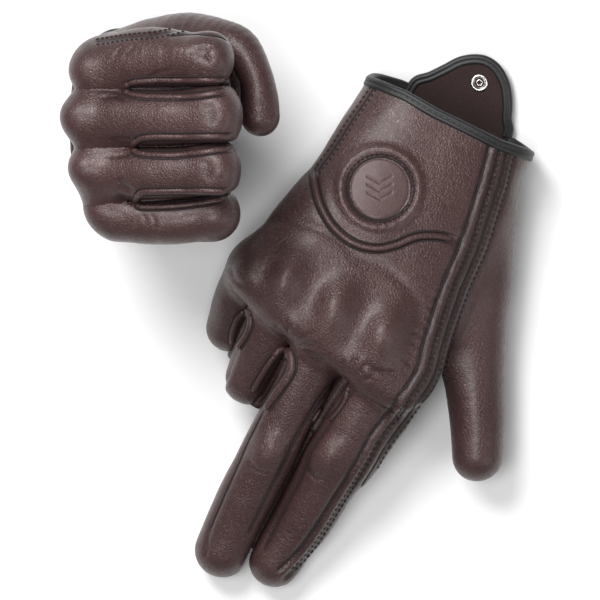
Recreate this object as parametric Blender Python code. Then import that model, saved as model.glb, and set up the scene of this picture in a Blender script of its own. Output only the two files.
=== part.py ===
"""A pair of leather riding gloves, both for the right hand: one worn with two fingers stretched, one made into a fist.

Each glove is worked out in its own hand frame, in millimetres: the origin is the middle finger's knuckle pivot,
+X points to the thumb side, +Y to the wrist and +Z out of the back of the hand. A placement turns that frame into
the shared frame, where +Z is up and the pointing glove's fingers run along -Y.
"""

import math

import bmesh
import bpy
from mathutils import Matrix, Vector

MM = 0.001
GAP = 0.3  # clearance between two pieces that touch
GUARD_ROOM = 1.3  # the knuckle guard lies this far under the leather
WALL = 1.6  # leather with its lining
SIDES = 12  # facets round a finger

# Hand sections from cuff to knuckles: distance to the knuckle line, centre across, half width, half thickness.
SECTIONS = ((93, 13.5, 35.5, 22.0), (70, 11.0, 37.0, 21.0), (46, 8.0, 40.0, 19.5), (28, 3.5, 43.0, 18.0),
            (14, 0.5, 46.5, 16.0), (0, -1.0, 48.0, 14.0), (-8, -1.0, 47.5, 13.5))
CUFF_Y = 93.0
HAND_CORE = Vector((4.0, 40.0, 0.0))  # a point inside the hand
SQUARENESS = 2.5  # exponent of the superellipse that each section is

# Angles round a section, in degrees: 0 is the thumb side, 90 the back of the hand.
STRIP_FROM, STRIP_TO = 8, 38
BACK_TO = 184
SEAM_GAP_DEG = 2.0

WELT_ARC = ((184, 46), (150, 40), (125, 28), (105, 27), (80, 36), (60, 43), (38, 43))  # angle, distance

# Knuckle line of the four fingers: name, across, along, radius at the base, radius at the tip, phalanges.
FINGERS = (("index", 22.0, 1.0, 10.0, 9.0, (47, 31, 22)), ("middle", 0.5, 0.0, 10.2, 9.2, (51, 32, 22)),
           ("ring", -20.6, 4.0, 9.7, 8.8, (47, 26.8, 19.2)), ("pinky", -39.3, 10.0, 8.5, 7.7, (38, 22, 18)))
LEAN = {"index": -0.012, "middle": 0.006, "ring": 0.02, "pinky": 0.035}  # drift towards the middle, mm per mm
GUARD_FROM, GUARD_TO = 25, 2  # the knuckle guard's span along the hand
DOME_HEIGHT, DOME_ALONG, DOME_ACROSS = 4.0, 11.0, 7.0

BINDING_WIDTH, BINDING_LIP = 3.3, 0.8  # the folded tape on the cuff's edge stands this proud of the leather
BADGE_AT, BADGE_RADIUS, BADGE_THICKNESS = (-1.7, 54.2), 15.0, 1.4

# The wrist tab: its fold line in the hand frame, half width, length, and heights of its layers over the fold line.
TAB_FOLD = Vector((15.5, 97.2, -23.6))
TAB_HALF, TAB_START, TAB_LENGTH, TAB_TAPE = 20.5, 1.6, 30.5, 2.1
TAB_LEATHER, TAB_LINING_TOP, TAB_TAPE_TOP = 2.2, 3.2, 3.5
SNAP_AT = (3.5, 21.6)  # across from the tab's middle, along from its fold
SNAP_SIDES = 24

PAIR_TURN = math.radians(22.5)  # how far the fist's knuckles are turned from the pointing fingers
UP, EAST, NORTH = Vector((0, 0, 1)), Vector((1, 0, 0)), Vector((0, 1, 0))

ORIGIN = Vector((-16.3, 1.7, 0.0))  # centre of the pair's own footprint, measured after building


def placement(origin, across, along, outward):
    """The hand frame's matrix from its origin and its three axes, in millimetres."""
    turn = Matrix((across, along, outward)).transposed().to_4x4()
    return Matrix.Translation(Vector(origin) - ORIGIN) @ turn


POINTING_TILT = math.radians(10.9)
POINTING = {
    "name": "pointing",
    "place": placement((14, -4, 40.65), EAST, NORTH * math.cos(POINTING_TILT) - UP * math.sin(POINTING_TILT),
                       NORTH * math.sin(POINTING_TILT) + UP * math.cos(POINTING_TILT)),
    "bends": {"index": (26.3, 3, 4), "middle": (25.6, 4, 4), "ring": (35.9, 124, 32), "pinky": (43.6, 121.7, 26)},
    "room": {"index": (70, 80), "middle": (70, 80), "ring": (70, 125), "pinky": (70, 122)},
    "length": {"index": 1.0, "middle": 1.0, "ring": 0.89, "pinky": 0.9},
    "arch": 0.0025,
    "thumb": ((60, 20, -22), (66, -6, -24), (74.5, -28, -24.2)),
    "thumb_radii": (11.0, 10.2),
    "tab_degrees": 20.9,
}
FIST_ACROSS = Vector((-math.sin(PAIR_TURN), math.cos(PAIR_TURN), 0))
FIST_OUTWARD = Vector((-math.cos(PAIR_TURN), -math.sin(PAIR_TURN), 0))
FIST = {
    "name": "fist",
    "place": placement((-99.6, 37.6, CUFF_Y + BINDING_WIDTH), FIST_ACROSS, -UP, FIST_OUTWARD),
    "bends": {"index": (66, 117, 13), "middle": (68, 115, 13), "ring": (66, 117, 13), "pinky": (78, 106, 10)},
    "room": {f[0]: (86, 118) for f in FINGERS},
    "length": {f[0]: 0.93 for f in FINGERS},
    "arch": 0.0056,
    "thumb": ((44, 34, -26), (44, 8, -69), (2, 6, -60.8)),
    "thumb_radii": (10.5, 9.0),
    "tab_degrees": -175.0,
}

MATERIALS = {
    "brown_leather": ((0.11, 0.06, 0.055), 0.45, 0.0),
    "suede_lining": ((0.03, 0.012, 0.012), 0.95, 0.0),
    "black_binding": ((0.012, 0.013, 0.012), 0.7, 0.0),
    "moulded_guard": ((0.02, 0.02, 0.022), 0.5, 0.0),
    "snap_metal": ((0.62, 0.61, 0.6), 0.25, 1.0),
}


def clear_scene():
    for obj in list(bpy.data.objects):
        bpy.data.objects.remove(obj)


def material(name):
    """The named Principled material, made once."""
    made = bpy.data.materials.get(name)
    if made:
        return made
    colour, roughness, metallic = MATERIALS[name]
    made = bpy.data.materials.new(name)
    made.use_nodes = True
    shader = made.node_tree.nodes["Principled BSDF"]
    shader.inputs["Base Color"].default_value = (*colour, 1)
    shader.inputs["Roughness"].default_value = roughness
    shader.inputs["Metallic"].default_value = metallic
    return made


def smooth_step(value):
    value = min(max(value, 0.0), 1.0)
    return value * value * (3 - 2 * value)


def section(y):
    """Centre across, half width and half thickness of the hand at this distance from the knuckle line."""
    for (y0, *high), (y1, *low) in zip(SECTIONS, SECTIONS[1:]):
        if y >= y1 or y1 == SECTIONS[-1][0]:
            share = (y0 - y) / (y0 - y1)
            return [a + (b - a) * share for a, b in zip(high, low)]


def dome(x, y):
    """Height of the four moulded knuckle domes above the back of the hand."""
    total = 0.0
    for _, across, along, *_ in FINGERS:
        dx = (x - across) / DOME_ACROSS
        dy = (y - along - 7.0) / DOME_ALONG
        total += math.exp(-dx * dx - dy * dy)
    return DOME_HEIGHT * min(total, 1.0)


def knuckle_line(x):
    """How far each side of the hand's end is drawn back from the middle finger's knuckle."""
    stops = [(47.0, 3.0), (22.0, 1.0), (0.5, 0.0), (-20.6, 4.0), (-39.6, 10.0), (-48.0, 12.0)]
    for (x0, y0), (x1, y1) in zip(stops, stops[1:]):
        if x >= x1 or x1 == stops[-1][0]:
            return y0 + (y1 - y0) * min(max((x0 - x) / (x0 - x1), 0.0), 1.0)


def arch_drop(glove, x):
    """How far the knuckles' arch lies under the middle finger's at this place across the hand."""
    return glove["arch"] * (x - 1) ** 2


def hand_point(glove, y, degrees, inset=0.0, domed=True):
    """A point of the hand's surface, inset by this much, in the hand frame."""
    angle = math.radians(degrees)
    centre, half_width, half_thickness = section(y)
    cosine, sine = math.cos(angle), math.sin(angle)
    reach = 1 / (abs(cosine) ** SQUARENESS + abs(sine) ** SQUARENESS) ** (1 / SQUARENESS)
    x = centre + (half_width - inset) * reach * cosine
    z = (half_thickness - inset) * reach * sine
    if domed and sine > 0:
        z += dome(x, y) * smooth_step(2.2 * sine)
    near_knuckles = smooth_step(1 - y / 40)
    z -= arch_drop(glove, x) * smooth_step(1.2 - y / CUFF_Y)
    return Vector((x, y + knuckle_line(x) * near_knuckles, z))


def new_object(glove, name, mesh_builder, finish):
    """An object made by a function that fills a bmesh, in the shared frame."""
    shape = bmesh.new()
    mesh_builder(shape)
    mesh = bpy.data.meshes.new(f"{glove['name']}_{name}")
    shape.to_mesh(mesh)
    shape.free()
    mesh.shade_smooth()
    mesh.set_sharp_from_angle(angle=math.radians(35))
    mesh.materials.append(material(finish))
    made = bpy.data.objects.new(mesh.name, mesh)
    bpy.context.scene.collection.objects.link(made)
    return made


def to_shared(glove, point):
    return (glove["place"] @ Vector(point)) * MM


def sheet(glove, name, rows, thickness, finish, ring=False, tip=None, core=None):
    """A skin through rows of points, thickened by Solidify towards the core, a point on its inner side.

    A ring's rows close on themselves, and a tip closes its far end.
    """
    core = core or sum(rows[0], Vector()) / len(rows[0])

    def build(shape):
        lines = [[shape.verts.new(to_shared(glove, p)) for p in row] for row in rows]
        for line, following in zip(lines, lines[1:]):
            count = len(line)
            for i in range(count if ring else count - 1):
                j = (i + 1) % count
                shape.faces.new((line[i], line[j], following[j], following[i]))
        if tip is not None:
            end = shape.verts.new(to_shared(glove, tip))
            last = lines[-1]
            for i, corner in enumerate(last):
                shape.faces.new((corner, last[(i + 1) % len(last)], end))
        middle = to_shared(glove, core)
        shape.normal_update()
        if sum(f.normal.dot(f.calc_center_median() - middle) * f.calc_area() for f in shape.faces) < 0:
            bmesh.ops.reverse_faces(shape, faces=shape.faces[:])

    made = new_object(glove, name, build, finish)
    thicken = made.modifiers.new("leather", "SOLIDIFY")
    thicken.thickness = thickness * MM
    thicken.offset = -1
    thicken.use_even_offset = True
    return made


def hand_panel(glove, name, from_deg, to_deg, start, end, finish="brown_leather", inset=0.0, steps=8,
               rows=7, thickness=WALL, domed=True):
    """A panel of the hand between two angles. start and end give its edges along the hand at each angle."""
    angles = [from_deg + (to_deg - from_deg) * i / steps for i in range(steps + 1)]
    grid = []
    for j in range(rows):
        share = j / (rows - 1)
        grid.append([hand_point(glove, start(a) + (end(a) - start(a)) * share, a, inset, domed) for a in angles])
    return sheet(glove, name, grid, thickness, finish, core=HAND_CORE)


def welt_y(degrees):
    """Where the piped seam crosses the back of the hand at this angle, on a smooth line through WELT_ARC."""
    for (a0, y0), (a1, y1) in zip(WELT_ARC, WELT_ARC[1:]):
        if degrees >= a1 or a1 == WELT_ARC[-1][0]:
            return y0 + (y1 - y0) * smooth_step((a0 - degrees) / (a0 - a1))


def finger_bones(glove, finger):
    """Knuckle, middle joint, end joint and fingertip centre, and the bend at each, in the hand frame."""
    name, across, along, _, _, lengths = finger
    point = Vector((across, along, -arch_drop(glove, across)))
    bones, turned = [point], 0.0
    for bend, length in zip(glove["bends"][name], lengths):
        turned += math.radians(bend)
        step = Vector((LEAN[name], -math.cos(turned), -math.sin(turned)))
        point = point + step * length * glove["length"][name]
        bones.append(point)
    return bones


def cut_back(radius, degrees):
    """How far a stall's palm side is drawn back at a joint so that it can bend by this angle."""
    return radius * math.tan(math.radians(min(degrees, 125) / 2))


def tube_frames(points):
    """Tangent and outward direction at each point of a centreline that bends in the plane across the knuckles."""
    frames = []
    for i, point in enumerate(points):
        before, after = points[max(i - 1, 0)], points[min(i + 1, len(points) - 1)]
        tangent = (after - before).normalized()
        side = Vector((1, 0, 0)) - tangent * tangent.x
        side.normalize()
        frames.append((point, tangent, side, tangent.cross(side).normalized()))
    return frames


def stall(glove, name, points, radii, base_cut, end_cut, closed=False, finish="brown_leather"):
    """A hollow stall round a centreline. Its palm side is cut back at each end that has a joint."""
    rows = []
    frames = tube_frames(points)
    for i, ((point, tangent, side, outward), radius) in enumerate(zip(frames, radii)):
        cut = base_cut if i == 0 else (-end_cut if i == len(points) - 1 and not closed else 0.0)
        if 0 < i < len(points) - 1 or closed and i:
            cut = base_cut * max(0.0, 1 - 1.6 * i / (len(points) - 1))
        if not closed and 0 < i < len(points) - 1:
            share = i / (len(points) - 1)
            cut = base_cut * (1 - share) * 0.6 - end_cut * share * 0.6
        row = []
        for k in range(SIDES):
            angle = -2 * math.pi * k / SIDES
            shift = cut * (1 - math.sin(angle)) / 2
            row.append(point + tangent * shift
                       + (side * math.cos(angle) + outward * math.sin(angle)) * radius)
        rows.append(row)
    tip = None
    if closed:
        point, tangent, side, outward = frames[-1]
        radius = radii[-1]
        for lift in (35, 65):
            angle = math.radians(lift)
            ring = [point + tangent * radius * math.sin(angle)
                    + (side * math.cos(-2 * math.pi * k / SIDES) + outward * math.sin(-2 * math.pi * k / SIDES))
                    * radius * math.cos(angle) for k in range(SIDES)]
            rows.append(ring)
        tip = point + tangent * radius
    return sheet(glove, name, rows, WALL, finish, ring=True, tip=tip)


def set_pivot(made, glove, point):
    """Move an object's origin to a point of the hand frame, without moving its shape."""
    pivot = to_shared(glove, point)
    made.data.transform(Matrix.Translation(-pivot))
    made.location = pivot


def between(a, b, share):
    return a + (b - a) * share


def curve_points(a, b, c, count):
    """Points along a quadratic curve that leaves a towards b and arrives at c."""
    return [between(between(a, b, t), between(b, c, t), t) for t in (i / (count - 1) for i in range(count))]


def make_finger(glove, finger):
    name, _, _, base_radius, tip_radius, _ = finger
    knuckle, middle, end, tip = finger_bones(glove, finger)
    knuckle_room, middle_room = glove["room"][name]
    mid_radius = (base_radius + tip_radius) / 2
    axis = (middle - knuckle).normalized()
    first = [knuckle + axis * GAP, between(knuckle, middle, 0.5), middle - axis * GAP]
    made = stall(glove, f"{name}_stall", first, (base_radius, base_radius - 0.2, mid_radius),
                 cut_back(base_radius, knuckle_room) * 0.55, cut_back(mid_radius, middle_room))
    set_pivot(made, glove, knuckle)
    start = middle + (end - middle).normalized() * GAP
    centre = curve_points(start, end, tip, 6)
    radii = [mid_radius + (tip_radius - mid_radius) * i / 5 for i in range(6)]
    made = stall(glove, f"{name}_fingertip", centre, radii, cut_back(mid_radius, middle_room), 0.0, closed=True)
    set_pivot(made, glove, middle)


def make_knuckle_cap(glove, finger):
    """The padded cap over a finger's middle joint, on the end of the first stall."""
    name, _, _, base_radius, tip_radius, _ = finger
    knuckle, middle, _, _ = finger_bones(glove, finger)
    axis = (middle - knuckle).normalized()
    frames = tube_frames([knuckle, middle])
    _, _, side, outward = frames[1]
    rows = []
    for along, lift in ((-13, 0.4), (-9, 2.2), (-5, 3.0), (-1, 2.4), (2.5, 0.8)):
        row = []
        for degrees in range(150, 29, -20):
            angle = math.radians(degrees)
            edge = smooth_step(1.6 - abs(degrees - 90) / 38)
            radius = (base_radius + tip_radius) / 2 + GAP + 1.2 + lift * edge
            row.append(middle + axis * along + (side * math.cos(angle) + outward * math.sin(angle)) * radius)
        rows.append(row)
    set_pivot(sheet(glove, f"{name}_knuckle_cap", rows, 1.0, "moulded_guard"), glove, knuckle)


def make_thumb(glove):
    root, joint, tip = (Vector(p) for p in glove["thumb"])
    base, end = glove["thumb_radii"]
    count = 8
    centre = curve_points(root, joint, tip, count)
    radii = [base + (end - base) * i / (count - 1) for i in range(count)]
    set_pivot(stall(glove, "thumb_stall", centre, radii, 0.0, 0.0, closed=True), glove, root)


def turned(glove, name, frame, profile, finish, ring=False):
    """A piece turned round an axis of the hand frame from (radius, height) pairs. A ring's profile closes."""
    def build(shape):
        lines = []
        for radius, height in profile:
            angles = [2 * math.pi * k / SNAP_SIDES for k in range(SNAP_SIDES)]
            points = [frame @ Vector((radius * math.cos(a), radius * math.sin(a), height)) for a in angles]
            lines.append([shape.verts.new(to_shared(glove, p)) for p in points])
        pairs = list(zip(lines, lines[1:] + lines[:1])) if ring else list(zip(lines, lines[1:]))
        for line, following in pairs:
            for i in range(SNAP_SIDES):
                j = (i + 1) % SNAP_SIDES
                shape.faces.new((line[i], line[j], following[j], following[i]))
        if not ring:
            shape.faces.new(lines[0][::-1])
            shape.faces.new(lines[-1])
        bmesh.ops.recalc_face_normals(shape, faces=shape.faces)

    return new_object(glove, name, build, finish)


def make_badge(glove):
    """The round patch sewn to the cuff panel, lying just over its highest point."""
    x, y = BADGE_AT
    reach = (-BADGE_RADIUS, 0, BADGE_RADIUS)
    top = max(hand_point(glove, y + step, a).z for a in range(60, 121, 10) for step in reach)
    frame = Matrix.Translation(Vector((x, y, top + GAP)))
    profile = [(BADGE_RADIUS, 0), (BADGE_RADIUS, 1.0), (BADGE_RADIUS - 0.4, BADGE_THICKNESS)]
    turned(glove, "badge_patch", frame, profile, "brown_leather")


def make_cuff_binding(glove):
    """The tape folded over the cuff's edge all the way round."""
    rows = []
    for y in (CUFF_Y + GAP, CUFF_Y + BINDING_WIDTH):
        rows.append([hand_point(glove, CUFF_Y, 9 * i, -BINDING_LIP) + Vector((0, y - CUFF_Y, 0)) for i in range(40)])
    sheet(glove, "cuff_binding", rows, WALL + 2 * BINDING_LIP, "black_binding", ring=True)


def tab_point(frame, degrees, share, inset, height):
    """A point of the tab, share -1 to 1 across it, at this angle of its rounded outline."""
    angle = math.radians(degrees)
    half = (TAB_HALF - inset) * math.cos(angle) ** 0.8
    along = TAB_START + (TAB_LENGTH - TAB_START - inset) * math.sin(angle) ** 0.8
    return frame @ Vector((half * share, along, height))


def tab_layer(glove, name, frame, top, thickness, finish):
    inset = TAB_TAPE + GAP
    rows = [[tab_point(frame, t, share / 3, inset, top) for share in range(-3, 4)] for t in (0, 15, 30, 45, 60, 72, 84)]
    return sheet(glove, name, rows, thickness, finish, core=frame @ Vector((0, 10, -50)))


def make_tab(glove):
    """The wrist tab with its tape, its lining and the two halves of its snap, and the stud on the palm."""
    frame = Matrix.Translation(TAB_FOLD) @ Matrix.Rotation(math.radians(glove["tab_degrees"]), 4, "X")
    pieces = [tab_layer(glove, "wrist_tab", frame, TAB_LEATHER, 1.2, "brown_leather"),
              tab_layer(glove, "tab_lining", frame, TAB_LINING_TOP, 0.7, "suede_lining")]
    turns = [(t, 1) for t in range(0, 81, 10)] + [(t, -1) for t in range(80, -1, -10)]
    lines = [[tab_point(frame, t, share, inset, TAB_TAPE_TOP) for t, share in turns] for inset in (0, TAB_TAPE)]
    pieces.append(sheet(glove, "tab_binding", lines, 2.8, "black_binding", core=frame @ Vector((0, 10, -50))))
    snap = frame @ Matrix.Translation(Vector((*SNAP_AT, 0)))
    ring = [(2.0, TAB_LINING_TOP + GAP), (3.8, TAB_LINING_TOP + GAP), (3.4, TAB_LINING_TOP + 1.1),
            (2.4, TAB_LINING_TOP + 1.1)]
    pieces.append(turned(glove, "snap_ring", snap, ring, "snap_metal", ring=True))
    socket_top = TAB_LEATHER - 1.2 - GAP
    socket = [(2.2, socket_top), (5.0, socket_top), (4.4, socket_top - 1.4), (2.2, socket_top - 1.4)]
    pieces.append(turned(glove, "snap_socket", snap, socket, "snap_metal", ring=True))
    for piece in pieces:
        set_pivot(piece, glove, TAB_FOLD)
    foot = hand_point(glove, TAB_FOLD.y - SNAP_AT[1], -90)
    foot = Vector((TAB_FOLD.x + SNAP_AT[0], foot.y, foot.z - GAP))
    stud = Matrix.Translation(foot) @ Matrix.Rotation(math.pi, 4, "X")
    turned(glove, "snap_stud", stud, [(5.0, 0), (5.0, 0.8), (2.4, 1.2), (2.4, 2.3), (1.8, 2.6)], "snap_metal")


def make_hand(glove):
    """The panels of the hand: back, cuff, side strip and palm, the guard inside, and the piping on the seam."""
    welt_half = 1.2
    gap = SEAM_GAP_DEG / 2
    hand_panel(glove, "cuff_panel", BACK_TO - gap, STRIP_TO + gap, lambda a: CUFF_Y,
               lambda a: welt_y(a) + welt_half + GAP, steps=20, rows=5)
    hand_panel(glove, "back_panel", BACK_TO - gap, STRIP_TO + gap, lambda a: welt_y(a) - welt_half - GAP,
               lambda a: 0.4, steps=20, rows=8)
    hand_panel(glove, "side_strip", STRIP_TO - gap, STRIP_FROM + gap, lambda a: CUFF_Y, lambda a: 0.4,
               steps=3, rows=8)
    hand_panel(glove, "palm_panel", STRIP_FROM - gap, BACK_TO - 360 + gap, lambda a: CUFF_Y,
               lambda a: 0.4 + 10 * smooth_step(-5 * math.sin(math.radians(a))), steps=16, rows=7)
    hand_panel(glove, "knuckle_guard", 150, 34, lambda a: GUARD_FROM, lambda a: GUARD_TO, "moulded_guard",
               inset=WALL + GUARD_ROOM, steps=18, rows=6, thickness=1.4)
    hand_panel(glove, "seam_piping", BACK_TO - gap, STRIP_TO + gap, lambda a: welt_y(a) + welt_half - GAP,
               lambda a: welt_y(a) - welt_half + GAP, inset=-0.7, steps=20, rows=3, thickness=1.8)


def build():
    clear_scene()
    for glove in (POINTING, FIST):
        make_hand(glove)
        for finger in FINGERS:
            make_finger(glove, finger)
            make_knuckle_cap(glove, finger)
        make_thumb(glove)
        make_badge(glove)
        make_cuff_binding(glove)
        make_tab(glove)


build()
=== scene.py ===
import math

import bpy
import numpy as np
from mathutils import Matrix, Vector


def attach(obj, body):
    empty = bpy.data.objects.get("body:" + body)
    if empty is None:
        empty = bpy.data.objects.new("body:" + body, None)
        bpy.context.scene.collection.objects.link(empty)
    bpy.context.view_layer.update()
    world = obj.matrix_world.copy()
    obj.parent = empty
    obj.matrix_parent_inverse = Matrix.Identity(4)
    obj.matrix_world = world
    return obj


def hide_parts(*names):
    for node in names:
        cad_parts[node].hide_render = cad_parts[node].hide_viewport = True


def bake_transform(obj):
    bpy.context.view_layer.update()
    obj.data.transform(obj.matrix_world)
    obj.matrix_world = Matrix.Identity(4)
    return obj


# A pair of soft leather riding gloves, in millimetres until a piece is made. Each glove has its own plan
# frame: columns 0 and 1 lie flat and column 2 rises. The pointing glove's fingers run along -Y of its plan;
# the fist stands on its cuff with its fingers along +X.

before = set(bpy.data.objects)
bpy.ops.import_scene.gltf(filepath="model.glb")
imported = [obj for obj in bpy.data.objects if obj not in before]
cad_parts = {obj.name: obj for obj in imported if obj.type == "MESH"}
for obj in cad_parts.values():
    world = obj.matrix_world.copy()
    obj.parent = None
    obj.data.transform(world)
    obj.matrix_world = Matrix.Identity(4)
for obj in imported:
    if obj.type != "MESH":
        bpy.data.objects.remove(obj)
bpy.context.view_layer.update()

MM = 0.001
STEP = 1.1  # lattice spacing of the leather surfaces
WALL = 1.3  # leather with its lining
GAP = 0.3  # between two fingers side by side
LINE_PITCH = 0.9  # of the points along a roll or a seam
FEWEST_POINTS = 4  # for a roll, a seam or a row of stitches
BADGE_RADIUS = 12.4
BADGE_STITCH_RADIUS = 13.5
CAP_RADIUS = 8.5  # of the guard inside a bent knuckle
TAB_ROOT = Vector((15.5, 97.2,
                   -23.6))  # from the middle of the back of a hand to the middle of its tab's root
PAIR_TURN = math.radians(22.5)


# ---------------------------------------------------------------- numbers and curves

def smooth(t):
    t = np.clip(t, 0, 1)
    return t * t * (3 - 2 * t)


def soft_min(a, b, reach):
    share = np.maximum(reach - np.abs(a - b), 0) / reach
    return np.minimum(a, b) - share * share * reach / 4


def soft_max(a, b, reach):
    return -soft_min(-a, -b, reach)


def smooth_line(stops, per=6):
    """A Catmull-Rom curve through rows of stops."""
    stops = np.array(stops, float)
    padded = np.vstack([2 * stops[0] - stops[1], stops, 2 * stops[-1] - stops[-2]])
    t = np.linspace(0, 1, per, endpoint=False)[:, None]
    rows = []
    for a, b, c, d in zip(padded, padded[1:], padded[2:], padded[3:]):
        rows.append(0.5 * (2 * b + (c - a) * t + (2 * a - 5 * b + 4 * c - d) * t ** 2
                           + (3 * b - a - 3 * c + d) * t ** 3))
    return np.vstack([*rows, stops[-1:]])


def even_line(points, pitch):
    """The same line with points at even steps close to this pitch."""
    points = np.array(points, float)
    run = np.concatenate([[0], np.cumsum(np.linalg.norm(np.diff(points, axis=0), axis=1))])
    count = max(2, int(round(run[-1] / pitch)) + 1)
    at = np.linspace(0, run[-1], count)
    return np.stack([np.interp(at, run, points[:, i]) for i in range(points.shape[1])], axis=1)


def shifted_line(points, offset):
    """A plan line moved sideways, to its left for a positive offset."""
    along = np.gradient(points, axis=0)
    along /= np.linalg.norm(along, axis=1)[:, None]
    return points + np.stack([-along[:, 1], along[:, 0]], axis=1) * offset


def line_distance(plan, path, reach=7.0, group=4):
    """Distance from plan points to a path, and how far along it the nearest point lies, from 0 to 1.

    Points further off than the reach get a large distance."""
    best = np.full(len(plan), 1e4)
    share = np.zeros(len(plan))
    count = len(path) - 1
    for first in range(0, count, group):
        part = path[first:first + group + 1]
        near = np.flatnonzero(np.all((plan > part.min(0) - reach) & (plan < part.max(0) + reach), axis=1))
        if not len(near):
            continue
        p = plan[near]
        for i, (a, b) in enumerate(zip(part, part[1:])):
            axis = b - a
            t = np.clip((p - a) @ axis / (axis @ axis), 0, 1)
            gap = p - a - t[:, None] * axis
            d = gap[:, 0] ** 2 + gap[:, 1] ** 2
            nearer = d < best[near]
            best[near[nearer]] = d[nearer]
            share[near[nearer]] = (first + i + t[nearer]) / count
    return np.sqrt(best), share


def side_of(plan, path):
    """Signed distance to a path whose ends run on straight, positive on its left."""
    best = np.full(len(plan), 1e9)
    signed = np.zeros(len(plan))
    last = len(path) - 2
    for i, (a, b) in enumerate(zip(path, path[1:])):
        axis = b - a
        t = (plan - a) @ axis / (axis @ axis)
        t = np.clip(t, -50 if i == 0 else 0, 50 if i == last else 1)
        gap = plan - a - t[:, None] * axis
        d = np.linalg.norm(gap, axis=1)
        cross = axis[0] * gap[:, 1] - axis[1] * gap[:, 0]
        nearer = d < best
        best[nearer] = d[nearer]
        signed[nearer] = (np.sign(cross) * d)[nearer]
    return signed


def value_noise(points, scale, seed):
    """Smooth noise from -1 to 1 with this feature size."""
    p = points / scale + seed * 17.3
    cell = np.floor(p)
    f = smooth(p - cell)
    total = 0
    for corner in np.ndindex(2, 2, 2):
        c = cell + corner
        h = np.sin(c[:, 0] * 127.1 + c[:, 1] * 311.7 + c[:, 2] * 74.7 + seed) * 43758.5453
        weight = np.prod(np.where(np.array(corner), f, 1 - f), axis=1)
        total = total + (h - np.floor(h)) * weight
    return total * 2 - 1


# ---------------------------------------------------------------- fields

def limb(points, chain, margin=16.0):
    """Distance to a round limb along a smooth chain of (x, y, z, radius), at most the margin."""
    chain = smooth_line(chain, 4)
    reach = margin + chain[:, 3].max()
    near = np.all((points > chain[:, :3].min(0) - reach) & (points < chain[:, :3].max(0) + reach), axis=1)
    p = points[near]
    best = np.full(len(p), margin)
    for a, b in zip(chain, chain[1:]):
        axis = b[:3] - a[:3]
        t = np.clip((p - a[:3]) @ axis / (axis @ axis), 0, 1)
        d = np.linalg.norm(p - a[:3] - t[:, None] * axis, axis=1) - (a[3] + (b[3] - a[3]) * t)
        best = np.minimum(best, d)
    made = np.full(len(points), margin)
    made[near] = best
    return made


def hand_body(points, glove):
    """Distance to the hand: superellipse sections along one axis, rounded off at the knuckles."""
    along, across, height = glove.axes
    table = glove.sections
    order = np.argsort(table[:, 0])
    at = points[:, along]
    centre_a, centre_h, half_a, half_h = (np.interp(at, table[order, 0], table[order, i]) for i in range(1,
                                                                                                         5))
    power = glove.power
    a = np.abs(points[:, across] - centre_a) / half_a + 1e-6
    b = np.abs(points[:, height] - centre_h) / half_h + 1e-6
    rho = (a ** power + b ** power) ** (1 / power)
    slope = rho ** (1 - power) * np.hypot(a ** (power - 1) / half_a, b ** (power - 1) / half_h)
    body = np.maximum((rho - 1) / slope, -14.0)
    return soft_max(body, glove.past_end(points), glove.end_round)


def knuckle_bar(points, chain, half, thinner=1.0):
    """A bent knuckle's width: a short bar across the end of a finger's chain."""
    x, y, z, r = chain[-1]
    return limb(points, [(x - 0.5, y - half, z, r - thinner), (x - 0.5, y + half, z, r - thinner)])


def finger_shape(points, glove, name):
    """Distance to one finger by itself."""
    finger = limb(points, glove.fingers[name])
    if name in glove.bars:
        finger = soft_min(finger, knuckle_bar(points, glove.fingers[name], glove.bars[name]), 3)
    return finger


def finger_field(points, glove, name, body=None):
    """The hand with one finger on it, held inside that finger's own room between its neighbours."""
    if body is None:
        body = glove.palm(points)
    made = soft_min(body, finger_shape(points, glove, name), glove.web)
    room = glove.room(points, name)
    return soft_max(made, room, 1.5)


def whole_field(points, glove):
    body = glove.palm(points)
    return np.min([finger_field(points, glove, name, body) for name in glove.fingers], axis=0)


def gradient(field, points, step=0.25):
    made = np.empty_like(points)
    for i in range(3):
        shift = np.zeros(3)
        shift[i] = step
        made[:, i] = field(points + shift) - field(points - shift)
    return made / (2 * step)


def unit(rows):
    return rows / np.maximum(np.linalg.norm(rows, axis=1), 1e-9)[:, None]


# ---------------------------------------------------------------- meshes as (rows, triangles)
# A mesh's rows hold position (0-2), normal (3-5) and painted shade (6) of each vertex, a painted highlight
# where below zero.

def sampled(field, axes, step, skip=4):
    """The field on a lattice: from a coarse one far from the surface, exactly near it."""
    few = [a[::skip] for a in axes]
    grid = np.stack(np.meshgrid(*few, indexing="ij"), axis=-1)
    value = field(grid.reshape(-1, 3)).reshape(grid.shape[:3])
    nearest = [np.minimum((np.arange(len(a)) + skip // 2) // skip, len(b) - 1) for a, b in zip(axes, few)]
    value = value[np.ix_(*nearest)]
    near = np.argwhere(np.abs(value) < 2.0 * skip * step)
    points = np.stack([a[near[:, i]] for i, a in enumerate(axes)], axis=1)
    value[tuple(near.T)] = field(points)
    return value


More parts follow.
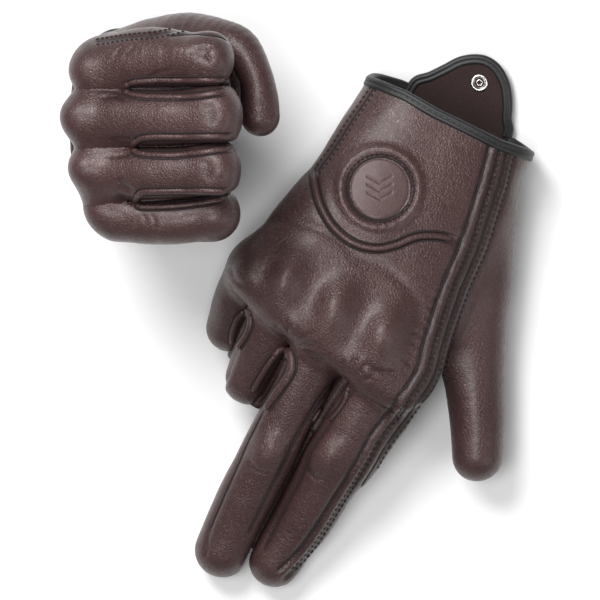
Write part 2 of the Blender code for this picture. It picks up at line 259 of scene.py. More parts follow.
def net(field, low, high, step):
    """Surface net of a field's zero surface inside a box, moved onto the surface."""
    axes = [np.arange(a, b + step, step) for a, b in zip(low, high)]
    shape = [len(a) for a in axes]
    value = sampled(field, axes, step)
    inside = value < 0
    cells = tuple(n - 1 for n in shape)
    corners = list(np.ndindex(2, 2, 2))
    counts = sum(inside[i:i + cells[0], j:j + cells[1], k:k + cells[2]].astype(int) for i, j, k in corners)
    active = np.argwhere((counts > 0) & (counts < 8))
    number = np.full(cells, -1)
    number[tuple(active.T)] = np.arange(len(active))
    values = {c: value[tuple((active + c).T)] for c in corners}
    total, hits = np.zeros((len(active), 3)), np.zeros(len(active))
    for a in corners:
        for axis in range(3):
            if a[axis]:
                continue
            b = tuple(1 if i == axis else a[i] for i in range(3))
            crossing = (values[a] < 0) != (values[b] < 0)
            t = values[a] / np.where(crossing, values[a] - values[b], 1)
            point = np.array(a, float) + np.eye(3)[axis] * t[:, None]
            total += np.where(crossing[:, None], point, 0)
            hits += crossing
    points = np.array(low) + (active + total / hits[:, None]) * step
    quads = []
    for axis in range(3):
        b, c = (axis + 1) % 3, (axis + 2) % 3
        lower = np.take(inside, range(shape[axis] - 1), axis)
        upper = np.take(inside, range(1, shape[axis]), axis)
        at = np.argwhere(lower != upper)
        at = at[(at[:, b] > 0) & (at[:, c] > 0) & (at[:, b] < shape[b] - 1) & (at[:, c] < shape[c] - 1)]
        ring = []
        for db, dc in ((-1, -1), (0, -1), (0, 0), (-1, 0)):
            near = at.copy()
            near[:, b] += db
            near[:, c] += dc
            ring.append(number[tuple(near.T)])
        ring = np.stack(ring, axis=1)
        out = lower[tuple(at.T)]
        quads.append(np.where(out[:, None], ring, ring[:, ::-1]))
    quads = np.vstack(quads)
    for _ in range(3):
        slope = gradient(field, points)
        size = np.maximum(np.einsum("ij,ij->i", slope, slope), 0.2)
        move = -slope * (field(points) / size)[:, None]
        length = np.maximum(np.linalg.norm(move, axis=1), 1e-9)
        points = points + move * np.minimum(1, 0.6 * step / length)[:, None]
    first = np.linalg.norm(points[quads[:, 0]] - points[quads[:, 2]], axis=1)
    second = np.linalg.norm(points[quads[:, 1]] - points[quads[:, 3]], axis=1)
    even = (first <= second)[:, None]
    tris = np.vstack([np.where(even, quads[:, [0, 1, 2]], quads[:, [0, 1, 3]]),
                      np.where(even, quads[:, [0, 2, 3]], quads[:, [1, 2, 3]])])
    normals = unit(gradient(field, points))
    return np.hstack([points, normals, np.zeros((len(points), 1))]), tris


def compact(rows, tris):
    """The mesh without unused vertices and without triangles that have no area."""
    a, b, c = (rows[tris[:, i], :3] for i in range(3))
    tris = tris[np.linalg.norm(np.cross(b - a, c - a), axis=1) > 1e-5]
    used, tris = np.unique(tris, return_inverse=True)
    return rows[used], tris.reshape(-1, 3)


def clip(mesh, level):
    """The part of a mesh where level, a function of its points, is positive, cut where it is zero."""
    rows, tris = mesh
    value = level(rows[:, :3])
    value = np.where(np.abs(value) < 0.05, 0.0, value)
    inside = value >= 0
    count = inside[tris].sum(1)
    mixed = tris[(count == 1) | (count == 2)]
    two = count[(count == 1) | (count == 2)] == 2
    odd = np.argmax(inside[mixed] != two[:, None], axis=1) if len(mixed) else np.zeros(0, int)
    mixed = np.take_along_axis(mixed, (odd[:, None] + np.arange(3)) % 3, axis=1)
    a, b, c = mixed.T if len(mixed) else (np.zeros(0, int),) * 3
    edges = np.sort(np.vstack([np.stack([a, b], 1), np.stack([a, c], 1)]), axis=1)
    unique, where = np.unique(edges, axis=0, return_inverse=True)
    where = where.reshape(-1)
    if len(unique):
        p, q = value[unique[:, 0]], value[unique[:, 1]]
        t = (p / (p - q))[:, None]
        added = rows[unique[:, 0]] * (1 - t) + rows[unique[:, 1]] * t
        rows_out = np.vstack([rows, added])
    else:
        rows_out = rows
    ab, ac = len(rows) + where[:len(a)], len(rows) + where[len(a):]
    one = ~two
    parts = [tris[count == 3],
             np.stack([a, ab, ac], 1)[one],
             np.stack([ab, b, c], 1)[two],
             np.stack([ab, c, ac], 1)[two]]
    return compact(rows_out, np.vstack(parts))


def raised(mesh, relief):
    """The mesh moved along its normals by a relief, with the normals that go with it and the shade and
    highlight that the relief paints on each vertex.
    """
    rows, tris = mesh
    points, normals = rows[:, :3], unit(rows[:, 3:6])
    lift, cavity = relief(points, normals)
    side = unit(np.cross(normals, np.where(np.abs(normals[:, :1]) > 0.8, [[0, 1, 0]], [[1, 0, 0]])))
    other = np.cross(normals, side)
    step = 0.3
    slopes = [(relief(points + t * step, normals)[0] - relief(points - t * step, normals)[0]) / (2 * step)
              for t in (side, other)]
    turned = unit(normals - side * slopes[0][:, None] - other * slopes[1][:, None])
    return np.hstack([points + normals * lift[:, None], turned, cavity[:, None]]), tris


def shell(mesh, wall=WALL):
    """Outer skin, lining and edges. Returns rows, triangles and the number of outer triangles."""
    rows, tris = mesh
    inner = rows.copy()
    inner[:, :3] -= rows[:, 3:6] * wall
    inner[:, 3:6] *= -1
    edges = np.vstack([tris[:, [0, 1]], tris[:, [1, 2]], tris[:, [2, 0]]])
    keys = np.sort(edges, axis=1)
    _, first, counts = np.unique(keys, axis=0, return_index=True, return_counts=True)
    border = edges[first[counts == 1]]
    n = len(rows)
    a, b = border.T
    rim = np.vstack([np.stack([b, a, a + n], 1), np.stack([b, a + n, b + n], 1)])
    return np.vstack([rows, inner]), np.vstack([tris, tris[:, ::-1] + n, rim]), len(tris)


def sweep(path, normals, profile, closed=False, scale=None):
    """A strip along a path: profile points are (across, up) pairs round its section."""
    path, normals = np.array(path, float), unit(np.array(normals, float))
    if closed:
        along = unit(np.roll(path, -1, 0) - np.roll(path, 1, 0))
    else:
        along = unit(np.gradient(path, axis=0))
    across = unit(np.cross(along, normals))
    up = np.cross(across, along)
    scale = np.ones(len(path)) if scale is None else scale
    count, sides = len(path), len(profile)
    rows = [path + across * (a * scale)[:, None] + up * (u * scale)[:, None] for a, u in profile]
    points = np.stack(rows, axis=1).reshape(-1, 3)
    tris = []
    for i in range(count if closed else count - 1):
        j = (i + 1) % count
        for k in range(sides):
            m = (k + 1) % sides
            a, b, c, d = i * sides + k, i * sides + m, j * sides + m, j * sides + k
            tris += [(a, b, c), (a, c, d)]
    if not closed:
        for end, flip in ((0, 1), ((count - 1) * sides, -1)):
            tris += [(end, end + k + 1, end + k)[::flip] for k in range(1, sides - 1)]
    return np.hstack([points, np.zeros((len(points), 4))]), np.array(tris)


def round_profile(width, height, sides=10):
    return [(width / 2 * math.cos(a), height / 2 * math.sin(a))
            for a in (-2 * math.pi * k / sides for k in range(sides))]


def stitches(path, normals, pitch=2.3, length=1.7, width=0.8, sunk=0.0):
    """A row of thread stitches along a path, each a small rounded bar that dips at its ends."""
    run = np.hstack([path, normals])
    centres = even_line(run, pitch)
    along = unit(np.gradient(centres[:, :3], axis=0))
    up = unit(centres[:, 3:])
    across = np.cross(along, up)
    rings, sides = (-1, -0.72, 0, 0.72, 1), 6
    parts = []
    for c, t, n, s in zip(centres[:, :3], along, up, across):
        rows = []
        for r in rings:
            thick = width / 2 * math.sqrt(max(1 - r * r, 0.04))
            for k in range(sides):
                a = -2 * math.pi * k / sides
                rows.append(c + t * r * length / 2 - n * (sunk + 0.25 * r * r)
                            + s * thick * math.cos(a) + n * thick * math.sin(a))
        parts.append(rows)
    base = []
    for i in range(len(rings) - 1):
        for k in range(sides):
            m = (k + 1) % sides
            a, b, c, d = i * sides + k, i * sides + m, (i + 1) * sides + m, (i + 1) * sides + k
            base += [(a, b, c), (a, c, d)]
    base = np.array(base)
    points = np.array(parts).reshape(-1, 3)
    each = len(rings) * sides
    tris = np.vstack([base + i * each for i in range(len(parts))])
    return np.hstack([points, np.zeros((len(points), 4))]), tris


def drape(glove, plan, lift=0.0, field=None):
    """Points on the glove's upper surface over plan points, with its normals.

    Plan points beside the glove are left out."""
    field = field or (lambda p: whole_field(p, glove))
    heights = np.arange(glove.top, glove.bottom, -1.5)
    count = len(plan)
    p = np.empty((count, len(heights), 3))
    p[..., :2] = plan[:, None, :]
    p[..., 2] = heights[None, :]
    value = field(p.reshape(-1, 3)).reshape(count, -1)
    on_glove = value.min(axis=1) < -0.2
    plan, value, count = plan[on_glove], value[on_glove], int(on_glove.sum())
    hit = np.maximum(np.argmax(value < 0, axis=1), 1)
    row = np.arange(count)
    v0, v1 = value[row, hit - 1], value[row, hit]
    z = heights[hit - 1] - 1.5 * v0 / np.maximum(v0 - v1, 1e-6)
    points = np.column_stack([plan, z])
    for _ in range(2):
        slope = gradient(field, points)
        down = np.where(np.abs(slope[:, 2]) < 0.2, 0.2, slope[:, 2])
        points[:, 2] -= np.clip(field(points) / down, -1, 1)
    normals = unit(gradient(field, points))
    offset, _ = glove.relief(points, normals)
    return points + normals * (offset + lift)[:, None], normals


# ---------------------------------------------------------------- the two gloves

class Glove:
    """One glove's plan frame, its leather body, its seams and its creases."""
    bars = {}

    def __init__(self, name, place):
        self.name = name
        self.place = place

    def to_shared(self, points):
        turn = np.array(self.place)
        return (points @ turn[:3, :3].T + turn[:3, 3]) * MM

    def turn(self, directions):
        return directions @ np.array(self.place)[:3, :3].T

    def plain_relief(self, points, normals):
        """The faint unevenness of leather without seams."""
        return value_noise(points, 15, 3) * 0.3 + value_noise(points, 6, 5) * 0.12, np.zeros(len(points))

    def room(self, points, name):
        """Distance outside a finger's own room. It takes hold only past the crotches beside it."""
        made = np.full(len(points), -60.0)
        for (left, right), line in self.separators.items():
            if name not in (left, right):
                continue
            past = self.past_crotch(points, line)
            near = past > -25
            past = past[near]
            side = side_of(points[near, :2], line["path"])
            gap = GAP / 2 + line["gap"] * smooth(past / 14) * smooth((line["gap_to"] - past) / 14)
            outside = (side if name == line["low"] else -side) + gap
            made[near] = np.maximum(made[near], outside - 1.5 * np.maximum(-past, 0))
        return made

    def beside(self, points, name):
        """Positive on a finger's own side of the lines between it and its neighbours."""
        made = np.full(len(points), 60.0)
        for (left, right), line in self.separators.items():
            if name in (left, right):
                side = side_of(points[:, :2], line["path"])
                made = np.minimum(made, -side if name == line["low"] else side)
        return made


class Pointing(Glove):
    """Back of the hand up, index and middle stretched along -Y, ring and little finger curled under."""
    axes = (1, 0, 2)
    power = 2.5
    web = 5.0
    end_round = 12.0
    top, bottom = 62.0, -2.0
    low, high = (-46, -24, -1.5), (86, 106, 58)
    cuff_centre = (27.0, 23.0)
    cuff_direction = 1.0
    stud_at = np.array((33.0, 66.0, 1.6))
    finger_start = {"pinky": -9, "ring": -16, "middle": -22, "index": -23}
    fingers = {
        "pinky": [(-22.6, 5, 34.0, 9.6), (-23.0, -8, 25.8, 9.8), (-21.6, -21, 17.0, 9.3)],
        "ring": [(-6.6, 2, 38.5, 12.0), (-7.2, -20, 30, 11.7), (-6.7, -36, 21.5, 11.0)],
        "middle": [(14.3, -2, 39.5, 12.2), (12.8, -30, 34, 11.8), (12, -55, 27.5, 11.7),
                   (11.3, -66, 24, 11.6),
                   (10.6, -80, 19.5, 11.5), (9.9, -94, 14, 11.3), (9.6, -104, 11.6, 11.0)],
        "index": [(36, 0, 38.5, 13), (38.4, -25, 34, 13.2), (38.8, -48, 28, 13.6), (36.6, -61, 22.5, 13),
                  (34.2, -79, 15.8, 12.1), (31.8, -91, 12.4, 11), (30.6, -100.3, 10.6, 10.3)],
    }
    curled = {"pinky": [(-23.0, -21, 17.0, 7.9), (-23.4, -7, 9.4, 7.8), (-23.8, 9, 8.4, 7.6)],
              "ring": [(-7.0, -36, 21.5, 9.2), (-6.9, -18, 10.6, 9.0), (-6.8, -1, 9.4, 8.6)]}
    thumb = [(53, 57, 20, 15.5), (57.5, 47, 20, 14.6), (63, 32, 19.6, 14), (67, 19, 19.3, 13.3),
             (76.6, -3, 19, 12.1),
             (84, -18, 19.5, 11.2), (89.2, -30.2, 20, 10.3)]
    index_side = [(50, -10, 33, 12.0), (46.5, -36, 28, 10.6), (43, -54, 23, 9.2)]
    crotches = ((-46, -5), (-17.9, -9.5), (3, -18), (30.3, -22.5), (62, -20))

    def __init__(self):
        super().__init__("pointing", Matrix.Translation(Vector((16.3, -1.7, 0))))
        stations = ((110, -8, 63.5), (96, -8.5, 63.5), (88, -9.3, 63.3), (75, -11.7, 62.7),
                    (64, -13.5, 62.2),
                    (54, -15.2, 61.3), (39, -20.5, 60.5), (22, -25.5, 61), (9, -29.8, 62),
                    (-5, -32.6, 62.5),
                    (-17, -31.7, 61.5), (-30, -30, 59))
        half_heights = ((-30, 12.5), (-15, 13), (0, 14.5), (14, 16), (28, 18), (46, 19.5), (75, 21),
                        (88, 22), (110, 22))
        rows = []
        for y, left, right in stations:
            half = np.interp(y, *zip(*half_heights))
            rows.append((y, (left + right) / 2, 40.65 - (y + 4) / 0.982 * 0.189, (right - left) / 2, half))
        self.sections = smooth_line(rows)
        self.separators = {
            ("pinky", "ring"): {"path": np.array([(-17.9, -12), (-16.2, -25), (-15.5, -36)], float),
                                "low": "pinky",
                                "crotch": -12.2, "gap": 0.7, "gap_to": 40},
            ("ring", "middle"): {"path": np.array([(3.2, -20), (2.0, -32), (0.5, -46)], float),
                                 "low": "ring",
                                 "crotch": -20.8, "gap": 1.1, "gap_to": 60},
            ("middle", "index"): {"path": smooth_line([(30.3, -24), (26.4, -35.4), (25, -45), (23.9, -56.5),
                                                       (22.8, -69.1), (21.5, -80.5), (20.3, -92.6),
                                                       (19.7, -108)], 2),
                                  "low": "middle", "crotch": -25.1, "gap": 1.3, "gap_to": 38},
        }
        self.crotch_line = np.array(self.crotches, float)
        tilt = math.radians(10.9)
        hand = Matrix.Translation(Vector((14, -4, 40.65))) @ Matrix(
            ((1, 0, 0), (0, math.cos(tilt), math.sin(tilt)), (0, -math.sin(tilt), math.cos(tilt)))).to_4x4()
        self.tab_matrix = hand @ Matrix.Translation(TAB_ROOT) @ Matrix.Rotation(math.radians(20.9), 4, "X")
        self.make_lines()

    def past_crotch(self, points, line):
        return line["crotch"] - points[:, 1]

    def palm(self, points):
        body = soft_min(hand_body(points, self), limb(points, self.index_side), 6)
        return soft_min(body, limb(points, self.thumb), 12)

    def past_end(self, points):
        ends = np.interp(points[:, 0], (-45, -25, -7, 14, 36, 50, 62), (0, -7, -14, -19, -24, -27, -26))
        return ends - points[:, 1]

    def cut(self, points):
        """Positive on the hand's side of the line where the fingers begin."""
        return points[:, 1] - np.interp(points[:, 0], self.crotch_line[:, 0], self.crotch_line[:, 1])

    def thumb_side(self, points):
        """Positive on the thumb past its root."""
        plane = (points[:, 0] - 62) * 0.669 - (points[:, 1] + 2) * 0.743
        return np.minimum(plane, points[:, 0] - 62.3)

    def cuff_edge(self, points):
        """How far up the arm the leather ends: straight on the back, slightly bowed on the palm side."""
        x = points[:, 0]
        back = np.interp(x, (-8, 7, 21, 36, 50, 61), (91.4, 91.4, 89.6, 88.7, 87.7, 88.6))
        bow = np.interp(x, (-8, 4, 12, 48, 55, 63), (2.4, 3.8, 3.5, 3.0, 2.6, 0.4))
        return back + smooth((24 - points[:, 2]) / 16) * bow

    def divider(self, points):
        """Height of the side seam between the back of the hand and the palm, on either side."""
        x, y = points[:, 0], points[:, 1]
        outer = np.interp(y, (-20, 0, 45, 56, 96), (33, 37.4, 31, 35.5, 33))
        inner = np.interp(y, (-20, 0, 96), (26, 28, 18))
        return outer * (x < 30) + inner * (x >= 30)

    def make_lines(self):
        self.seam = smooth_line([(45.5, 92), (48.1, 72.7), (49.6, 58), (50.6, 45.2), (50.4, 27.3),
                                 (51.9, 5),
                                 (53.6, -8), (50.9, -22), (47, -37.2), (45.4, -50), (42.8, -66),
                                 (40.4, -80.7),
                                 (37.6, -93), (33.5, -103)])
        self.strip_lines = [shifted_line(self.seam, offset) for offset in (0.0, 4.0, 7.4, 10.6)]
        self.strip_edge = smooth_line([(57.2, 92), (57.9, 70.3), (57.6, 58.9), (60.2, 20), (62.8, -6.3),
                                       (60, -30)])
        self.welt = smooth_line([(-14.9, 50), (-11.4, 43.6), (-6.5, 37.5), (1.2, 31.8), (11, 29.0),
                                 (20.3, 30.5),
                                 (27.1, 35), (33.4, 41), (42, 44.7), (51.0, 45.6)])
        self.side_seam = smooth_line([(-5.2, 91), (-8.0, 76), (-10.7, 61), (-13.4, 50)])
        self.guard_line = smooth_line([(-28, 21), (-18, 27), (-5.4, 29), (6, 27.5), (15.1, 24.2),
                                       (26, 24.5),
                                       (35.8, 21.3), (43.6, 15.9), (47.5, 6), (48.5, -6)])
        self.badge_at = np.array((12.3, 53.1))
        self.domes = [(-23.2, 5.5, 6.2, 9.5, 2.8), (-8.2, 6.0, 6.6, 11, 4.6), (14.2, 2.0, 7.4, 12, 5.4),
                      (35.7, -0.4, 7.8, 12, 5.4)]
        self.bumps = [(11.3, -60.5, 6.2, 7.2), (32.6, -53.5, 6.4, 7.4)]
        self.finger_seams = [
            smooth_line([(5.8, -20), (4.6, -30), (3.2, -46), (2.4, -62), (1.8, -76), (1.6, -90), (1.8, -99),
                         (4.0, -108)]),
            smooth_line([(25.5, -24), (22.6, -33), (20.6, -45), (19.4, -57), (18.4, -70), (17.4, -82),
                         (16.6, -94)]),
            smooth_line([(33.2, -26), (30.2, -36), (28.6, -47), (27.6, -58), (26.6, -72), (25.4, -84),
                         (24.4, -97)]),
        ]
        self.creases = self.make_creases()

    def make_creases(self):
        """Short creases as (path, depth, width): pleats beside the strip, the crotches and the domes."""
        made = []
        for i in range(9):
            y = 20 - 3.9 * i
            length = 8 + 3 * math.sin(i * 1.7)
            made.append(([(52.0, y), (52.0 - length * 0.5, y + 1.2),
                          (52.0 - length, y + 1 + math.sin(i) * 1.2)],
                         0.12, 1.0))
        for i, (dx, dy) in enumerate(((-5.5, 4.2), (-3.2, 6.5), (4.2, 6.0), (6.5, 3.4), (8.2, 1.0))):
            made.append(([(3 + dx * 0.45, -19 + dy * 0.45), (3 + dx * 1.1, -19 + dy * 1.1 + 0.6),
                          (3 + dx * 1.8, -19 + dy * 1.7)], 0.32, 0.8))
        for i, (dx, dy) in enumerate(((-4, 5), (-1, 7.5), (3, 7), (6, 4))):
            made.append(([(30 + dx * 0.4, -23 + dy * 0.4), (30 + dx, -23 + dy),
                          (30 + dx * 1.6, -23 + dy * 1.8)],
                         0.35, 0.9))
        made.append(([(33, -12.5), (38, -14.5), (44, -13.0), (48, -9.5)], 0.5, 1.1))
        made.append(([(9, -17.5), (14, -19), (20, -17.5)], 0.35, 1.1))
        made.append(([(-30, 2), (-26, -2.2), (-20, -3)], 0.35, 1.0))
        made.append(([(5.5, -66.5), (10.5, -68.8), (16.5, -67.0)], 0.35, 1.0))
        made.append(([(27.5, -60.5), (32.5, -62.6), (38.5, -60.5)], 0.35, 1.0))
        return [(smooth_line(path), depth, width) for path, depth, width in made]

    def middle_height(self, points):
        return np.interp(points[:, 1], (-108, -79, -48, -20, 0, 96), (9, 15, 27, 33, 37, 21.5))

    def relief(self, points, normals):
        plan = points[:, :2]
        top = smooth((points[:, 2] - self.middle_height(points) + 5) / 7)
        hand = smooth((points[:, 1] + 26) / 6)
        lift = value_noise(points, 17, 3) * 0.28 + value_noise(points, 7, 5) * 0.12
        cavity = np.zeros(len(points))
        # The knuckle domes and the middle-joint bumps are raised, and a highlight is painted on their
        # crowns.
        for x, y, wide, long, height in self.domes:
            r = ((plan[:, 0] - x) / wide) ** 2 + ((plan[:, 1] - y) / long) ** 2
            lift += height * np.exp(-r) * top
            cavity -= 0.35 * np.exp(-r) * top
        for x, y, wide, long in self.bumps:
            r = ((plan[:, 0] - x) / wide) ** 2 + ((plan[:, 1] - y) / long) ** 2
            lift += 2.4 * np.exp(-r ** 1.4) * top
            cavity -= 0.3 * np.exp(-r) * top
        # The guard's edge: a shallow groove with shade painted along it.
        d, _ = line_distance(plan, self.guard_line)
        lift -= 0.55 * np.exp(-(d / 2.4) ** 2) * top
        cavity += 0.22 * np.exp(-(d / 2.0) ** 2) * top
        # The strip's stitched grooves, with shade painted in them.
        right = np.where(points[:, 0] < 64, 1.0, 0.0)
        for line, depth, width in zip(self.strip_lines, (0.8, 0.5, 0.7, 0.4), (1.2, 1.1, 1.2, 1.0)):
            d, _ = line_distance(plan, line)
            shape = np.exp(-(d / width) ** 2) * top * right
            lift += -depth * shape
            cavity += 0.9 * shape
        for offset, size in ((2.0, 0.5), (5.7, 0.45), (9.0, 0.35)):
            d, _ = line_distance(plan, shifted_line(self.seam, offset))
            lift += size * np.exp(-(d / 1.4) ** 2) * top
        # The finger seams sink, with shade painted along them.
        for line in self.finger_seams:
            d, _ = line_distance(plan, line)
            shape = np.exp(-(d / 1.1) ** 2) * top * (1 - hand * 0.6)
            lift -= 0.5 * shape
            cavity += 0.4 * shape
        # Short creases with a lip beside them, shade painted in each.
        for line, depth, width in self.creases:
            near = np.abs(plan - line.mean(0)).max(1) < np.ptp(line, axis=0).max() + 8
            d, share = line_distance(plan[near], line)
            fade = smooth(share * 5) * smooth((1 - share) * 3) * top[near]
            shape = np.exp(-(d / width) ** 2) * fade
            lift[near] += depth * (0.35 * np.exp(-((d - width * 2.2) / width) ** 2) * fade - shape)
            cavity[near] += min(0.6, depth) * shape
        extra, dark = self.back_seams(plan, top)
        return lift + extra, cavity + dark

    def back_seams(self, plan, top):
        """The welt's, the side seam's and the patch's relief on the back of the hand, with shade painted
        along the welt, the side seam and the patch's stitch line and a highlight painted on the patch's
        raised ring.
        """
        lift, cavity = np.zeros(len(plan)), np.zeros(len(plan))
        d, _ = line_distance(plan, self.welt)
        near = top * smooth((54 - plan[:, 0]) / 3)
        lift -= 0.5 * np.exp(-(d / 2.4) ** 2) * near
        cavity += 0.25 * np.exp(-(d / 2.6) ** 2) * near
        d, _ = line_distance(plan, self.side_seam)
        lift -= 0.5 * np.exp(-(d / 1.1) ** 2) * top
        cavity += 0.4 * np.exp(-(d / 1.1) ** 2) * top
        r = np.linalg.norm(plan - self.badge_at, axis=1)
        angle = np.arctan2(plan[:, 1] - self.badge_at[1], plan[:, 0] - self.badge_at[0])
        pucker = 1 + 0.05 * np.sin(angle * 23 + 1.3 * np.sin(angle * 5))
        lift += 1.3 * np.exp(-((r - 15.6) / 2.0) ** 2) * pucker * top
        lift -= 0.45 * smooth((13.9 - r) / 1.8) * top
        # Shade painted along the stitch line, a highlight painted on the raised ring.
        cavity += (0.3 * np.exp(-((r - 13.2) / 1.1) ** 2) - 0.35 * np.exp(-((r - 15.8) / 1.8) ** 2)) * top
        return lift, cavity


# ---------------------------------------------------------------- materials

def node(tree, kind, inputs=None, **settings):
    made = tree.nodes.new(kind)
    for key, value in settings.items():
        setattr(made, key, value)
    for key, value in (inputs or {}).items():
        if isinstance(value, bpy.types.NodeSocket):
            tree.links.new(value, made.inputs[key])
        else:
            made.inputs[key].default_value = value
    return made


def start_material(name):
    made = bpy.data.materials.new(name)
    made.use_nodes = True
    tree = made.node_tree
    shader = tree.nodes["Principled BSDF"]
    place = node(tree, "ShaderNodeTexCoord").outputs["Object"]
    return made, tree, shader, place


def mix_colour(tree, share, a, b, mode="MIX"):
    made = node(tree, "ShaderNodeMix", data_type="RGBA", blend_type=mode)
    for index, value in ((0, share), (6, a), (7, b)):
        if isinstance(value, bpy.types.NodeSocket):
            tree.links.new(value, made.inputs[index])
        else:
            made.inputs[index].default_value = value
    return made.outputs[2]


def ramp(tree, value, low, high, out_low=0.0, out_high=1.0):
    return node(tree, "ShaderNodeMapRange", {"Value": value, "From Min": low, "From Max": high,
                                             "To Min": out_low, "To Max": out_high}).outputs[0]


def bump(tree, height, strength, distance, normal=None):
    inputs = {"Height": height, "Strength": strength, "Distance": distance}
    if normal is not None:
        inputs["Normal"] = normal
    return node(tree, "ShaderNodeBump", inputs).outputs[0]


def leather(name, base, dark, light, roughness=0.44, grain=1.0):
    """Soft full-grain leather: fine pebbled grain and faint creases, with shade painted into its seams and
    creases and highlights painted on its crowns.
    """
    made, tree, shader, place = start_material(name)
    cavity = node(tree, "ShaderNodeAttribute", attribute_name="cavity").outputs["Fac"]
    cloud = node(tree, "ShaderNodeTexNoise", {"Vector": place, "Scale": 38.0, "Detail": 5.0,
                                              "Roughness": 0.6})
    fine = node(tree, "ShaderNodeTexNoise", {"Vector": place, "Scale": 900.0, "Detail": 3.0})
    warp = node(tree, "ShaderNodeVectorMath", {0: place, 1: node(
        tree, "ShaderNodeVectorMath", {0: cloud.outputs["Color"], 1: (0.0012,) * 3},
        operation="MULTIPLY").outputs[0]}, operation="ADD").outputs[0]
    cells = node(tree, "ShaderNodeTexVoronoi", {"Vector": warp, "Scale": 820.0}, feature="DISTANCE_TO_EDGE")
    wide = node(tree, "ShaderNodeTexVoronoi", {"Vector": warp, "Scale": 620.0}, feature="DISTANCE_TO_EDGE")
    folds = node(tree, "ShaderNodeTexNoise", {"Vector": place, "Scale": 230.0, "Detail": 6.0,
                                              "Distortion": 1.2})
    tone = mix_colour(tree, ramp(tree, cloud.outputs["Fac"], 0.3, 0.7), (*dark, 1), (*base, 1))
    tone = mix_colour(tree, ramp(tree, fine.outputs["Fac"], 0.35, 0.75, 0.0, 0.35), tone, (*light, 1))
    # Painted highlight: raised crowns are mixed towards the lighter tone.
    tone = mix_colour(tree, ramp(tree, cavity, -0.05, -0.6, 0.0, 0.5), tone, (*light, 1))
    # Painted shade: creases, seams and grooves are mixed towards a much darker tone.
    painted_shade_tone = tuple(0.16 * c for c in dark)
    tone = mix_colour(tree, ramp(tree, cavity, 0.08, 0.95, 0.0, 0.93), tone, (*painted_shade_tone, 1))
    tree.links.new(tone, shader.inputs["Base Color"])
    rough = ramp(tree, folds.outputs["Fac"], 0.3, 0.7, roughness - 0.05, roughness + 0.09)
    tree.links.new(rough, shader.inputs["Roughness"])
    pebble = ramp(tree, cells.outputs["Distance"], 0.0, 0.28)
    crackle = ramp(tree, wide.outputs["Distance"], 0.0, 0.12)
    normal = bump(tree, folds.outputs["Fac"], 0.36 * grain, 0.0008)
    normal = bump(tree, crackle, 0.16 * grain, 0.0003, normal)
    normal = bump(tree, pebble, 0.45 * grain, 0.00024, normal)
    tree.links.new(normal, shader.inputs["Normal"])
    shader.inputs["Specular IOR Level"].default_value = 0.42
    shader.inputs["Specular Tint"].default_value = (0.92, 0.74, 0.72, 1)
    shader.inputs["Coat Weight"].default_value = 0.24
    shader.inputs["Coat Roughness"].default_value = 0.3
    return made


def fibre(name, base, light, roughness, scale, depth, sheen):
    """Brushed or woven fabric: suede lining, binding tape and thread."""
    made, tree, shader, place = start_material(name)
    nap = node(tree, "ShaderNodeTexNoise", {"Vector": place, "Scale": scale, "Detail": 6.0,
                                            "Roughness": 0.7})
    patch = node(tree, "ShaderNodeTexNoise", {"Vector": place, "Scale": 90.0, "Detail": 3.0})
    tone = mix_colour(tree, ramp(tree, nap.outputs["Fac"], 0.35, 0.75), (*base, 1), (*light, 1))
    tone = mix_colour(tree, ramp(tree, patch.outputs["Fac"], 0.35, 0.7, 0.0, 0.5), tone, (*base, 1))
    tree.links.new(tone, shader.inputs["Base Color"])
    shader.inputs["Roughness"].default_value = roughness
    shader.inputs["Sheen Weight"].default_value = sheen
    shader.inputs["Sheen Roughness"].default_value = 0.4
    tree.links.new(bump(tree, nap.outputs["Fac"], 0.5, depth), shader.inputs["Normal"])
    return made


def metal(name):
    """Nickel-plated brass, faintly brushed and dulled."""
    made, tree, shader, place = start_material(name)
    wear = node(tree, "ShaderNodeTexNoise", {"Vector": place, "Scale": 700.0, "Detail": 4.0})
    tone = mix_colour(tree, wear.outputs["Fac"], (0.42, 0.41, 0.40, 1), (0.78, 0.77, 0.75, 1))
    tree.links.new(tone, shader.inputs["Base Color"])
    tree.links.new(ramp(tree, wear.outputs["Fac"], 0.3, 0.7, 0.18, 0.34), shader.inputs["Roughness"])
    tree.links.new(bump(tree, wear.outputs["Fac"], 0.1, 0.0001), shader.inputs["Normal"])
    shader.inputs["Metallic"].default_value = 1.0
    return made


MATERIALS = {
    "leather": leather("brown_leather", (0.047, 0.0235, 0.0228), (0.031, 0.0145, 0.014),
                       (0.080, 0.047, 0.0455), 0.37),
    "patch": leather("patch_leather", (0.058, 0.031, 0.031), (0.045, 0.023, 0.023), (0.085, 0.050, 0.049),
                     0.5, 0.4),
    "strip": leather("strip_leather", (0.038, 0.019, 0.019), (0.025, 0.0118, 0.0118), (0.066, 0.038, 0.037),
                     0.46, 1.0),
    "suede": fibre("suede_lining", (0.016, 0.0068, 0.0066), (0.040, 0.018, 0.017), 0.95, 1500.0, 0.0005,
                   0.35),
    "tape": fibre("black_binding", (0.005, 0.0053, 0.005), (0.014, 0.0145, 0.014), 0.5, 1900.0, 0.00015,
                  0.03),
    # Dark thread for the stitches, also used for the cords that paint the seams' shadow lines.
    "thread": fibre("dark_thread", (0.006, 0.0032, 0.0032), (0.018, 0.010, 0.010), 0.8, 2400.0, 0.0002,
                    0.0),
    "guard": fibre("moulded_guard", (0.014, 0.014, 0.016), (0.030, 0.030, 0.033), 0.5, 600.0, 0.0001, 0.0),
    "metal": metal("snap_metal"),
}


# ---------------------------------------------------------------- pieces

